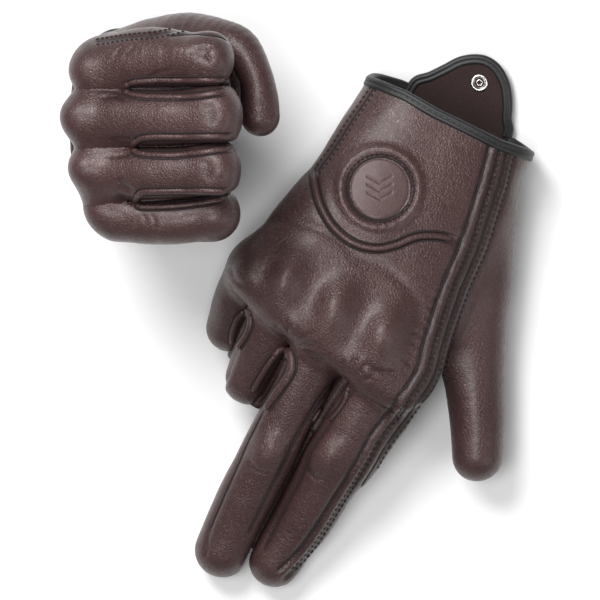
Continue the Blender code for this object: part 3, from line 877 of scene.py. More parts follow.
def add_piece(glove, name, mesh, finish, motion, replaces=(), outer=None, inner_finish="suede",
              kept_normals=True):
    """A mesh made into a piece.

    motion is a body's name, which the piece is attached to, or a tuple (body, body, start, end), whose
    parts are not used: such a piece is not attached to any body."""
    rows, tris = mesh
    data = bpy.data.meshes.new(f"{glove.name}_{name}")
    data.vertices.add(len(rows))
    points = glove.to_shared(rows[:, :3])
    points[:, 2] = np.maximum(points[:, 2], 0.0)
    data.vertices.foreach_set("co", points.astype(np.float32).ravel())
    data.loops.add(3 * len(tris))
    data.loops.foreach_set("vertex_index", tris.astype(np.int32).ravel())
    data.polygons.add(len(tris))
    data.polygons.foreach_set("loop_start", np.arange(0, 3 * len(tris), 3, dtype=np.int32))
    data.materials.append(MATERIALS[finish])
    if outer is not None:
        data.materials.append(MATERIALS[inner_finish])
        data.polygons.foreach_set("material_index", (np.arange(len(tris)) >= outer).astype(np.int32))
    data.update(calc_edges=True)
    data.validate()
    data.shade_smooth()
    data.attributes.new("cavity", "FLOAT", "POINT").data.foreach_set("value", rows[:, 6].astype(np.float32))
    if kept_normals and np.abs(rows[:, 3:6]).max() > 0:
        data.normals_split_custom_set_from_vertices(unit(glove.turn(rows[:, 3:6])).tolist())
    piece = bpy.data.objects.new(data.name, data)
    bpy.context.scene.collection.objects.link(piece)
    if isinstance(motion, str):
        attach(piece, motion)
    else:
        first, second, start, end = motion
        ends = glove.to_shared(np.array([start, end], float))
        tuple(ends[0])
        tuple(ends[1])
        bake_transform(piece)
    if replaces:
        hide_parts(*(f"{glove.name}_{node_name}" for node_name in replaces))
    return piece


def add_skin(glove, name, mesh, motion, replaces=(), finish="leather"):
    """A panel of leather with its lining and edges, from a mesh that already has its relief."""
    rows, tris, outer = shell(mesh)
    return add_piece(glove, name, (rows, tris), finish, motion, replaces, outer)


def add_guard(glove, name, mesh, motion, replaces, depth=WALL + 0.4, wall=1.3):
    """A thin moulded guard under the leather, following it from inside."""
    rows, tris = mesh
    rows = rows.copy()
    rows[:, :3] -= rows[:, 3:6] * depth
    rows, tris, _ = shell((rows, tris), wall)
    return add_piece(glove, name, (rows, tris), "guard", motion, replaces)


TAPE_PROFILE = ((1.0, 0.0), (0.93, 0.6), (0.65, 0.93), (0.2, 1.0), (0.0, 0.72), (-0.2, 1.0), (-0.65, 0.97),
                (-0.93, 0.6), (-1.0, 0.0), (-0.93, -0.6), (-0.65, -0.95), (0.65, -0.95), (0.93, -0.6))


def tape_profile(width, height):
    """A folded tape's section with the stitched groove along the middle of its upper face."""
    return [(a * width / 2, u * height / 2) for a, u in TAPE_PROFILE][::-1]


def cuff_loop(glove, count=150):
    """Points and normals round the leather's edge at the cuff."""
    along, across, height = glove.axes
    angles = np.linspace(0, 2 * math.pi, count, endpoint=False)
    centre = glove.cuff_centre
    reach = np.arange(4, 60, 0.75)
    p = np.empty((count, len(reach), 3))
    p[..., across] = centre[0] + np.cos(angles)[:, None] * reach
    p[..., height] = centre[1] + np.sin(angles)[:, None] * reach
    p[..., along] = 0
    flat = p.reshape(-1, 3)
    flat[:, along] = glove.cuff_edge(flat)
    value = glove.palm(flat).reshape(count, -1)
    hit = np.maximum(np.argmax(value > 0, axis=1), 1)
    row = np.arange(count)
    v0, v1 = value[row, hit - 1], value[row, hit]
    t = (v0 / np.minimum(v0 - v1, -1e-6))[:, None]
    points = p[row, hit - 1] * (1 - t) + p[row, hit] * t
    points[:, along] = glove.cuff_edge(points)
    normals = gradient(glove.palm, points)
    normals[:, along] = 0
    return points, unit(normals)


def disc(outline, rings, height):
    """A sheet inside a closed plan outline, as rings round its middle. height takes plan points."""
    centre = outline.mean(0)
    shares = np.linspace(0, 1, rings + 1)[1:]
    plan = np.vstack([centre[None]] + [centre + (outline - centre) * s for s in shares])
    n = len(outline)
    i = np.arange(n)
    j = (i + 1) % n
    tris = [np.stack([np.zeros(n, int), 1 + i, 1 + j], 1)]
    for r in range(rings - 1):
        a, b = 1 + r * n, 1 + (r + 1) * n
        tris += [np.stack([a + i, b + i, b + j], 1), np.stack([a + i, b + j, a + j], 1)]
    points = np.column_stack([plan, height(plan)])
    return np.hstack([points, np.tile([0, 0, 1.0, 0], (len(points), 1))]), np.vstack(tris)


def turned(profile, centre, sides=40, closed=False):
    """A piece turned round the plan frame's vertical through a centre, from (radius, height) pairs."""
    angles = np.linspace(0, 2 * math.pi, sides, endpoint=False)
    rows = [np.column_stack([centre[0] + r * np.cos(angles), centre[1] + r * np.sin(angles),
                             np.full(sides, centre[2] + h)]) for r, h in profile]
    i = np.arange(sides)
    j = (i + 1) % sides
    tris = []
    pairs = list(range(len(profile) - 1)) + ([len(profile) - 1] if closed else [])
    for k in pairs:
        a, b = k * sides, ((k + 1) % len(profile)) * sides
        tris += [np.stack([a + i, a + j, b + j], 1), np.stack([a + i, b + j, b + i], 1)]
    if not closed:
        last = (len(profile) - 1) * sides
        tris += [np.array([(0, k + 1, k) for k in range(1, sides - 1)]),
                 np.array([(last, last + k, last + k + 1) for k in range(1, sides - 1)])]
    points = np.vstack(rows)
    return np.hstack([points, np.zeros((len(points), 4))]), np.vstack(tris)


def moved(mesh, matrix):
    """A mesh carried by a matrix from its own frame into the glove's plan frame."""
    rows, tris = mesh
    m = np.array(matrix)
    rows = rows.copy()
    rows[:, :3] = rows[:, :3] @ m[:3, :3].T + m[:3, 3]
    rows[:, 3:6] = rows[:, 3:6] @ m[:3, :3].T
    return rows, tris


# ---------------------------------------------------------------- the wrist tab, in its own frame

TAB_OUTLINE = smooth_line([(-21, -3), (-21.8, 6), (-20.8, 12.0), (-16.3, 15.9), (-11.4, 21.5), (-6.9, 26.8),
                           (-1.3, 30.2),
                           (3.8, 31.0), (9.2, 29.1), (14.3, 24.2), (17.9, 17.5), (20, 11.6), (22.5, 7.0),
                           (22.5, -3)])
TAB_TAPE = 4.2
SNAP_AT = (3.5, 21.6)


def add_tab(glove, matrix):
    """The wrist tab in leather with its lining, tape, snap ring and socket.

    matrix takes its own frame to the glove's plan frame."""
    body = f"{glove.name}_tab"
    corners = np.array(matrix) @ np.array([[0, 0], [1.0, 9.0], [0, 0], [1, 1]])
    motion = ("hands", body, corners[:3, 0], corners[:3, 1])
    outline = even_line(TAB_OUTLINE, 1.2)
    centre = outline.mean(0)
    inner = centre + (outline - centre) * 0.955
    for name, low, thick, finish in (("wrist_tab", 1.0, 1.2, "leather"), ("tab_lining", 2.3, 0.8, "suede")):
        top = low + thick
        mesh = disc(inner, 16, lambda p: top + value_noise(np.column_stack([p, p[:, 0] * 0]), 6, 4) * 0.12)
        rows, tris, _ = shell(mesh, thick)
        add_piece(glove, f"{name}_sheet", moved((rows, tris), matrix), finish, motion, (name,),
                  kept_normals=False)
    edge = outline[(outline[:, 1] > 3.0)]
    edge = centre + (edge - centre) * 0.962
    path = np.column_stack([edge, np.full(len(edge), 2.1)])
    normals = np.tile([0, 0, 1.0], (len(path), 1))
    tape = sweep(path, normals, tape_profile(TAB_TAPE, 3.3))
    add_piece(glove, "tab_tape", moved(tape, matrix), "tape", motion, ("tab_binding",), kept_normals=False)
    seam = path + np.array([0, 0, 1.25])
    add_piece(glove, "tab_tape_stitches", moved(stitches(seam, normals, 2.6, 2.0, 0.5), matrix), "tape",
              motion)
    ring = [(1.9, 3.0), (3.5, 3.0), (3.6, 3.4), (3.35, 3.9), (2.9, 4.05), (2.45, 3.85), (2.2, 3.4),
            (1.95, 3.35)]
    post = [(0.0, 3.02), (0.9, 3.02), (1.15, 3.3), (1.25, 3.1), (2.0, 3.05)]
    socket = [(0.0, -0.6), (1.0, -0.6), (3.0, -0.5), (4.3, -0.15), (5.0, 0.5), (4.9, 0.9), (2.2, 0.95),
              (0.0, 0.95)]
    for name, profile, closed, replaces in (("ring", ring, True, ("snap_ring",)), ("post", post, False, ()),
                                            ("socket", socket, False, ("snap_socket",))):
        mesh = moved(turned(profile, (*SNAP_AT, 0), closed=closed), matrix)
        add_piece(glove, f"snap_{name}_metal", mesh, "metal", body, replaces, kept_normals=False)


# ---------------------------------------------------------------- parts that both gloves share

def limb_box(chain, spare):
    chain = np.array(chain, float)
    return chain[:, :3].min(0) - chain[:, 3].max() - spare, chain[:, :3].max(0) + chain[:, 3].max() + spare


def laid(glove, plan, pitch, lift, part=None, field=None):
    """Points and normals along a plan line on the leather, or None where hardly any of it lies there.

    part keeps only the plan points where it is positive."""
    path = even_line(plan, pitch)
    if part is not None:
        path = path[part(path) > 0]
    if len(path) < FEWEST_POINTS:
        return None
    points, normals = drape(glove, path, lift, field)
    return None if len(points) < FEWEST_POINTS else (points, normals)


def tapered(count, thin, share):
    """A width along a line of points that thins towards both ends, over this share of the line."""
    at = np.linspace(0, 1, count)
    return thin + (1 - thin) * smooth(at / share) * smooth((1 - at) / share)


def add_stitch_row(glove, name, plan, motion, lift=0.0, pitch=2.4, part=None, field=None):
    """A stitched line draped over the leather."""
    line = laid(glove, plan, 0.8, lift + 0.1, part, field)
    if line is not None:
        add_piece(glove, name, stitches(*line, pitch), "thread", motion)


def add_roll(glove, name, plan, motion, width, height, lift=0.0, replaces=(), field=None):
    """A rolled edge or a piped bead along a plan line, sunk into the leather's surface."""
    line = laid(glove, plan, LINE_PITCH, lift, None, field)
    if line is not None:
        mesh = sweep(*line, round_profile(width, height), scale=tapered(len(line[0]), 0.15, 0.06))
        add_piece(glove, name, mesh, "leather", motion, replaces)


def add_seam_shade_line(glove, name, plan, motion, part=None, width=0.8, field=None):
    """A thin dark cord sunk along a closed seam, in the colour of its thread: it paints the shadow line of
    the seam's groove.
    """
    line = laid(glove, plan, LINE_PITCH, 0.0, part, field)
    if line is not None:
        mesh = sweep(*line, round_profile(width, 0.7, 6), scale=tapered(len(line[0]), 0.2, 0.05))
        # The thread's dark material, painting the seam's shadow line.
        add_piece(glove, name, mesh, "thread", motion)


def add_edge(glove, name, finger, plan, motion, width):
    """A fourchette's rolled edge along one finger, with a dark cord of painted seam shade on either side
    where it joins the finger.
    """
    plan = smooth_line(plan)

    def field(points):
        return finger_shape(points, glove, finger)

    add_roll(glove, f"{name}_roll", plan, motion, width, width * 0.8, 0.1, field=field)
    for number, offset in enumerate((-0.5, 0.5), 1):
        line = shifted_line(plan, offset * (width + 0.3))
        add_seam_shade_line(glove, f"{name}_seam_{number}", line, motion, width=0.7, field=field)


def add_fourchette(glove, name, path, motion, width, height):
    """The strip of leather between two fingers, down between their rolled edges."""
    path = smooth_line(path)
    normals = np.tile([0, 0, 1.0], (len(path), 1))
    mesh = sweep(path, normals, round_profile(width, height))
    add_piece(glove, f"{name}_fourchette", mesh, "strip", motion)


def add_badge(glove, centre, radius, top, motion):
    """The round patch: a smooth disc in a stitched ring, blind-stamped with three plain chevrons."""
    angles = np.linspace(0, 2 * math.pi, 96, endpoint=False)
    ring = np.column_stack([np.cos(angles), np.sin(angles)])
    outline = centre + ring * radius

    def height(plan):
        p = plan - centre
        r = np.linalg.norm(p, axis=1)
        made = top(plan) + 0.25 - 0.35 * smooth((r - radius + 1.6) / 1.6)
        turn = np.array([p[:, 0] * 0.924 + p[:, 1] * 0.383, p[:, 1] * 0.924 - p[:, 0] * 0.383])
        for shift in (-3.2, 0.0, 3.2):
            d = np.abs(turn[1] - shift - 0.55 * np.abs(turn[0]) + 1.2)
            made -= 0.22 * np.exp(-(d / 0.5) ** 2) * smooth((5.6 - np.abs(turn[0])) / 0.8)
        return made

    rows, tris = disc(outline, 40, height)
    normal_rows = rows.copy()
    step = 0.2
    for i in range(2):
        shift = np.zeros(2)
        shift[i] = step
        normal_rows[:, 3 + i] = -(height(rows[:, :2] + shift) - height(rows[:, :2] - shift)) / (2 * step)
    normal_rows[:, 5] = 1
    normal_rows[:, 3:6] = unit(normal_rows[:, 3:6])
    # Shade painted round the disc's edge, where it sinks into the stitched ring.
    r = np.linalg.norm(rows[:, :2] - centre, axis=1)
    normal_rows[:, 6] = 0.9 * smooth((r - radius + 0.7) / 0.5)
    rows, tris, outer = shell((normal_rows, tris), 0.9)
    add_piece(glove, "badge_disc", (rows, tris), "patch", motion, ("badge_patch",), outer)


def add_cuff_binding(glove, skip=None):
    """The tape folded over the cuff's edge, with its stitching.

    skip is true for the points where the tab's tape takes its place."""
    points, normals = cuff_loop(glove)
    along, _, _ = glove.axes
    out = np.zeros(3)
    out[along] = glove.cuff_direction
    middle = points - normals * (WALL / 2) - out * 0.5
    if skip is not None:
        keep = ~skip(points)
        start = int(np.argmax(keep & ~np.roll(keep, 1)))
        order = (start + np.arange(len(points))) % len(points)
        order = order[keep[order]]
        middle, normals = middle[order], normals[order]
    closed = skip is None
    mesh = sweep(middle, normals, tape_profile(4.6, WALL + 1.9), closed=closed)
    add_piece(glove, "cuff_tape", mesh, "tape", "hands", ("cuff_binding",))
    seam = middle + normals * (WALL / 2 + 0.62)
    add_piece(glove, "cuff_tape_stitches", stitches(seam, normals, 2.6, 2.0, 0.5), "tape", "hands")


def add_panels(glove, body, on_back, to_plan, on_palm=None):
    """The leather round the hand cut along its seams into cuff, back, side strip and palm.

    on_back is positive above the side seams, to_plan lays points out flat beside the seam lines and on_palm
    is positive beyond the strip. Returns the back panel."""

    def past_strip_seam(points):
        return side_of(to_plan(points), POINTING.seam)

    def past_welt(points):
        return side_of(to_plan(points), POINTING.welt)

    top = clip(body, on_back)
    back = clip(top, lambda p: -past_strip_seam(p))
    add_skin(glove, "cuff_panel_leather", clip(back, past_welt), "hands", ("cuff_panel",))
    back = clip(back, lambda p: -past_welt(p))
    add_skin(glove, "back_panel_leather", back, "hands", ("back_panel",))
    strip = clip(top, past_strip_seam)
    if on_palm is None:
        palm = clip(body, lambda p: -on_back(p))
    else:
        strip = clip(strip, lambda p: -on_palm(p))
        palm = clip(body, lambda p: np.maximum(-on_back(p), on_palm(p)))
    add_skin(glove, "side_strip_leather", strip, "hands", ("side_strip",), "strip")
    add_skin(glove, "palm_panel_leather", palm, "hands", ("palm_panel",))
    return back


def add_back_trim(view, welt, field=None):
    """The piped welt and the round patch sewn on the back of a hand, with a dark cord on each side of the
    welt that paints its seams' shadow lines. Returns the patch's stitch line.
    """
    centre = view.badge_at
    add_roll(view, "seam_piping_bead", welt, "hands", 2.9, 2.6, 0.35, replaces=("seam_piping",),
             field=field)
    add_badge(view, centre, BADGE_RADIUS, lambda plan: drape_height(view, plan, field), "hands")
    ring = np.array([centre + BADGE_STITCH_RADIUS * np.array([math.cos(a), math.sin(a)])
                     for a in np.linspace(0, 2 * math.pi, 90)])
    add_stitch_row(view, "badge_stitches", ring, "hands", pitch=2.0, lift=0.1, field=field)
    # Dark cords beside the welt paint the shadow lines of its seams.
    for number, offset in enumerate((-1.9, 1.9), 1):
        add_seam_shade_line(view, f"piping_seam_{number}", shifted_line(welt, offset), "hands", field=field)
    return ring


def drape_height(glove, plan, field=None):
    """A smooth bowl under the badge: the hand's surface without its creases, from a few heights."""
    centre = glove.badge_at
    angles = np.linspace(0, 2 * math.pi, 16)[:-1]
    samples = [centre + 11 * np.array([math.cos(a), math.sin(a)]) for a in angles]
    plan_points = np.array([centre, *samples])
    points, _ = drape(glove, plan_points, field=field)
    design = np.column_stack([np.ones(len(plan_points)), plan_points - centre, (plan_points - centre) ** 2])
    fit, *_ = np.linalg.lstsq(design, points[:, 2], rcond=None)
    p = plan - centre
    return np.column_stack([np.ones(len(p)), p, p ** 2]) @ fit


def finger_mesh(glove, name, spare=7):
    """One finger's leather from its root on, inside its own room and without its relief."""
    low, high = limb_box(glove.fingers[name], spare)
    low[2] = max(low[2], glove.bottom)
    mesh = net(lambda p: finger_field(p, glove, name), low, high, STEP * 0.9)
    mesh = clip(mesh, lambda p: -glove.cut(p))
    return clip(mesh, lambda p: glove.beside(p, name))


def add_knuckle_cap(glove, name, mesh, centre, motion):
    """The moulded guard under the leather of a bent knuckle."""
    cap = clip(mesh, lambda p: CAP_RADIUS - np.linalg.norm(p - centre, axis=1))
    add_guard(glove, f"{name}_knuckle_cap_shell", cap, motion, (f"{name}_knuckle_cap",))


def add_curled_tip(glove, name, body):
    """The folded part of a curled finger: a closed stall that turns inside the first one's end."""
    chain = glove.curled[name]
    low, high = limb_box(chain, 3)
    mesh = raised(net(lambda p: limb(p, chain), low, high, STEP), glove.plain_relief)
    add_skin(glove, f"{name}_fingertip_leather", mesh, body, (f"{name}_fingertip",))


def add_root_tube(glove, name):
    """The closed inside of a finger that lifts: it turns in the hand and shuts the stall's root."""
    chain = [(x, y, z, r - WALL) for x, y, z, r in glove.fingers[name]]
    low, high = limb_box(chain, 3)
    mesh = net(lambda p: limb(p, chain), low, high, STEP * 1.3)
    add_piece(glove, f"{name}_inner_tube", mesh, "leather", f"{glove.name}_{name}")


# ---------------------------------------------------------------- the pointing glove

POINTING_JOINTS = {
    "index": ((36.0, -48.5, 26.9), (0, -0.96, -0.28)),
    "middle": ((14.8, -53.3, 27.7), (0, -0.96, -0.28)),
}


def build_pointing(glove):
    def flat(points):
        return points[:, :2]

    def on_back(points):
        return points[:, 2] - glove.divider(points)

    def on_palm(points):
        return side_of(points[:, :2], glove.strip_edge)

    def on_tab(points):
        return (points[:, 0] > 9) & (points[:, 0] < 51.5) & (points[:, 2] < 18)

    body = net(lambda p: whole_field(p, glove), glove.low, glove.high, STEP)
    body = clip(body, glove.cut)
    body = clip(body, lambda p: -glove.thumb_side(p))
    body = raised(clip(body, lambda p: glove.cuff_edge(p) - p[:, 1]), glove.relief)
    back = add_panels(glove, body, on_back, flat, on_palm)
    guard = clip(clip(back, lambda p: -side_of(flat(p), glove.guard_line)), lambda p: p[:, 1] + 12)
    add_guard(glove, "knuckle_guard_shell", guard, "hands", ("knuckle_guard",))
    ring = add_back_trim(glove, glove.welt[:-2])
    # A dark cord round the patch paints the shadow line of its seam.
    add_seam_shade_line(glove, "badge_rim_seam", glove.badge_at + (ring - glove.badge_at) * 0.93, "hands")
    add_fingers(glove)
    add_pointing_thumb(glove)
    add_seam_stitches(glove)
    add_pointing_fourchettes(glove)
    add_cuff_binding(glove, on_tab)
    add_tab(glove, glove.tab_matrix)
    add_stud(glove)


def stall_motion(glove, name):
    """The hand's body, the finger's body and two ends about 20 mm apart at the finger's root."""
    first = glove.fingers[name][1]
    start = np.array([first[0], glove.finger_start[name], first[2]], float)
    return ("hands", f"{glove.name}_{name}", start, start + np.array([0, -20.0, -7.0]))


def tip_motion(name):
    pivot, turn = (np.array(v, float) for v in POINTING_JOINTS[name])
    return (f"pointing_{name}", f"pointing_{name}_end", pivot - turn * 8, pivot + turn * 8)


def add_fingers(glove):
    for name, chain in glove.fingers.items():
        mesh = finger_mesh(glove, name, 13 if name == "index" else 7)
        mesh = raised(clip(mesh, lambda p: -glove.thumb_side(p)), glove.relief)
        if name in POINTING_JOINTS:
            add_straight_finger(glove, name, mesh)
            continue
        add_skin(glove, f"{name}_stall_leather", mesh, stall_motion(glove, name), (f"{name}_stall",))
        add_knuckle_cap(glove, name, mesh, np.array(chain[-1][:3]) + np.array([0, -4.0, 8.0]),
                        f"{glove.name}_{name}")
        add_curled_tip(glove, name, f"{glove.name}_{name}_end")
        add_root_tube(glove, name)


def add_straight_finger(glove, name, mesh):
    """A stretched finger in two pieces that meet 8 mm before its middle joint, with its guard."""
    pivot, turn = (np.array(v, float) for v in POINTING_JOINTS[name])
    x, y, wide, long = next(b for b in glove.bumps if abs(b[0] - pivot[0]) < 8)

    def beyond(points):
        return (points - pivot) @ turn + 8

    def on_bump(points):
        return np.minimum(1.4 - ((points[:, 0] - x) / wide) ** 2 - ((points[:, 1] - y) / long) ** 2,
                          (points[:, 2] - pivot[2]) / 10)

    add_skin(glove, f"{name}_stall_leather", clip(mesh, lambda p: -beyond(p)), stall_motion(glove, name),
             (f"{name}_stall",))
    add_skin(glove, f"{name}_fingertip_leather", clip(mesh, beyond), tip_motion(name),
             (f"{name}_fingertip",))
    add_guard(glove, f"{name}_knuckle_cap_shell", clip(mesh, on_bump), tip_motion(name),
              (f"{name}_knuckle_cap",))


def add_pointing_thumb(glove):
    low, high = limb_box(glove.thumb[3:], 6)
    mesh = raised(clip(net(glove.palm, low, high, STEP), glove.thumb_side), glove.relief)
    motion = ("hands", "pointing_thumb", (66, 12, 19), (78, -4, 19))
    add_skin(glove, "thumb_stall_leather", mesh, motion, ("thumb_stall",))


def add_line_parts(glove, name, finger, line, add):
    """One seam line laid as three pieces: on the hand, on the finger and past the finger's middle joint."""
    pivot, _ = POINTING_JOINTS[finger]
    border = pivot[1] + 8
    add(glove, f"{name}_hand", line, "hands", part=lambda p: np.minimum(glove.cut(p), 84.5 - p[:, 1]))
    add(glove, f"{name}_{finger}", line, stall_motion(glove, finger),
        part=lambda p: np.minimum(-glove.cut(p), p[:, 1] - border))
    add(glove, f"{name}_{finger}_end", line, tip_motion(finger),
        part=lambda p: np.minimum(border - p[:, 1], p[:, 1] + 100))


def add_seam_stitches(glove):
    """Stitching of the strip and of the side seam, and the dark cords that paint the shadow lines of the
    closed seams of the strip, the fingers and the side seam.
    """
    for number, offset in enumerate((3.3, 4.7, 8.6, 10.6), 1):
        add_line_parts(glove, f"strip_stitches_{number}", "index", shifted_line(glove.seam, offset),
                       add_stitch_row)
    # Dark cords that paint the shadow lines of the strip's closed seams.
    for number, offset in enumerate((0.0, 7.4), 1):
        add_line_parts(glove, f"strip_seam_{number}", "index", shifted_line(glove.seam, offset), add_seam_shade_line)
    # Dark cords that paint the shadow lines of the fingers' seams.
    for number, finger in enumerate(("middle", "middle", "index"), 1):
        add_line_parts(glove, f"finger_seam_{number}", finger, glove.finger_seams[number - 1], add_seam_shade_line)
    for number, offset in enumerate((-1.3, 1.3), 1):
        add_stitch_row(glove, f"side_stitches_{number}", shifted_line(glove.side_seam, offset), "hands")
    # A dark cord that paints the side seam's shadow line.
    add_seam_shade_line(glove, "side_seam_line", glove.side_seam, "hands")


def add_pointing_fourchettes(glove):
    pinky, ring, middle, index = (stall_motion(glove, name) for name in ("pinky", "ring", "middle",
                                                                         "index"))
    add_fourchette(glove, "pinky_ring", [(-17.7, -10, 27), (-16.8, -20, 21), (-16.2, -30, 15)], ring, 5, 10)
    add_fourchette(glove, "ring_middle", [(2.6, -19, 29), (2.0, -28, 25), (0.6, -38, 21), (-0.5, -45, 19)],
                   middle,
                   7.5, 11)
    add_fourchette(glove, "middle_index", [(29.8, -19, 28), (26.4, -35, 24), (24.6, -46, 22)], middle, 9,
                   11)
    add_fourchette(glove, "middle_index_end", [(24.6, -45, 22), (23, -60, 18), (21.4, -80, 12),
                                               (20.0, -98, 8)],
                   tip_motion("middle"), 4.5, 9)
    for name, path, width in (("pinky_ring", [(-19.6, -15.4), (-19.0, -12.8), (-17.2, -11.8),
                                              (-15.4, -13.4)], 2.6),
                              ("ring_middle", [(-1.0, -25.2), (-0.2, -22.2), (2.2, -20.4), (4.8, -21.4),
                                               (6.8, -24.4)],
                               3.4),
                              ("middle_index", [(27.4, -28), (28.6, -25.6), (30.3, -24.6), (32.0, -26.8)],
                               2.0)):
        add_roll(glove, f"{name}_crotch_roll", smooth_line(path), "hands", width, width * 0.8, 0.2)
    add_edge(glove, "pinky_inner", "pinky", [(-18.6, -12.6), (-20.1, -16.2), (-19.7, -22.5),
                                             (-18.4, -26.5)], pinky,
             2.8)
    add_edge(glove, "ring_outer", "ring", [(-18.1, -12.5), (-15.6, -13.8), (-14.4, -19.3), (-15.8, -27.5)],
             ring, 2.8)
    add_edge(glove, "ring_inner", "ring", [(1.6, -21), (-1.1, -25.6), (-2.6, -33.5), (-3.4, -41.0)], ring,
             3)
    add_edge(glove, "middle_outer", "middle", [(2.4, -21), (6.0, -23.2), (7.4, -29), (4.8, -41),
                                               (3.6, -46)], middle, 4)
    add_edge(glove, "middle_inner", "middle", [(29.4, -25.2), (26.6, -29.1), (24.2, -36), (22.9, -43)],
             middle, 1.8)
    add_edge(glove, "index_outer", "index", [(30.6, -25.8), (31.4, -28.0), (31.0, -33.0), (29.0, -40.0)],
             index, 2.0)


def add_stud(glove):
    """The snap's stud on the palm, with its riveted foot."""
    centre = glove.stud_at
    profile = [(0.0, 0.0), (4.8, 0.0), (5.0, -0.4), (4.4, -0.8), (2.4, -1.0), (2.1, -1.6), (2.5, -2.2),
               (1.8, -2.6),
               (0.0, -2.7)]
    add_piece(glove, "snap_stud_metal", turned(profile[::-1], centre), "metal", "hands", ("snap_stud",),
              kept_normals=False)


POINTING = Pointing()
build_pointing(POINTING)


# ---------------------------------------------------------------- the fist

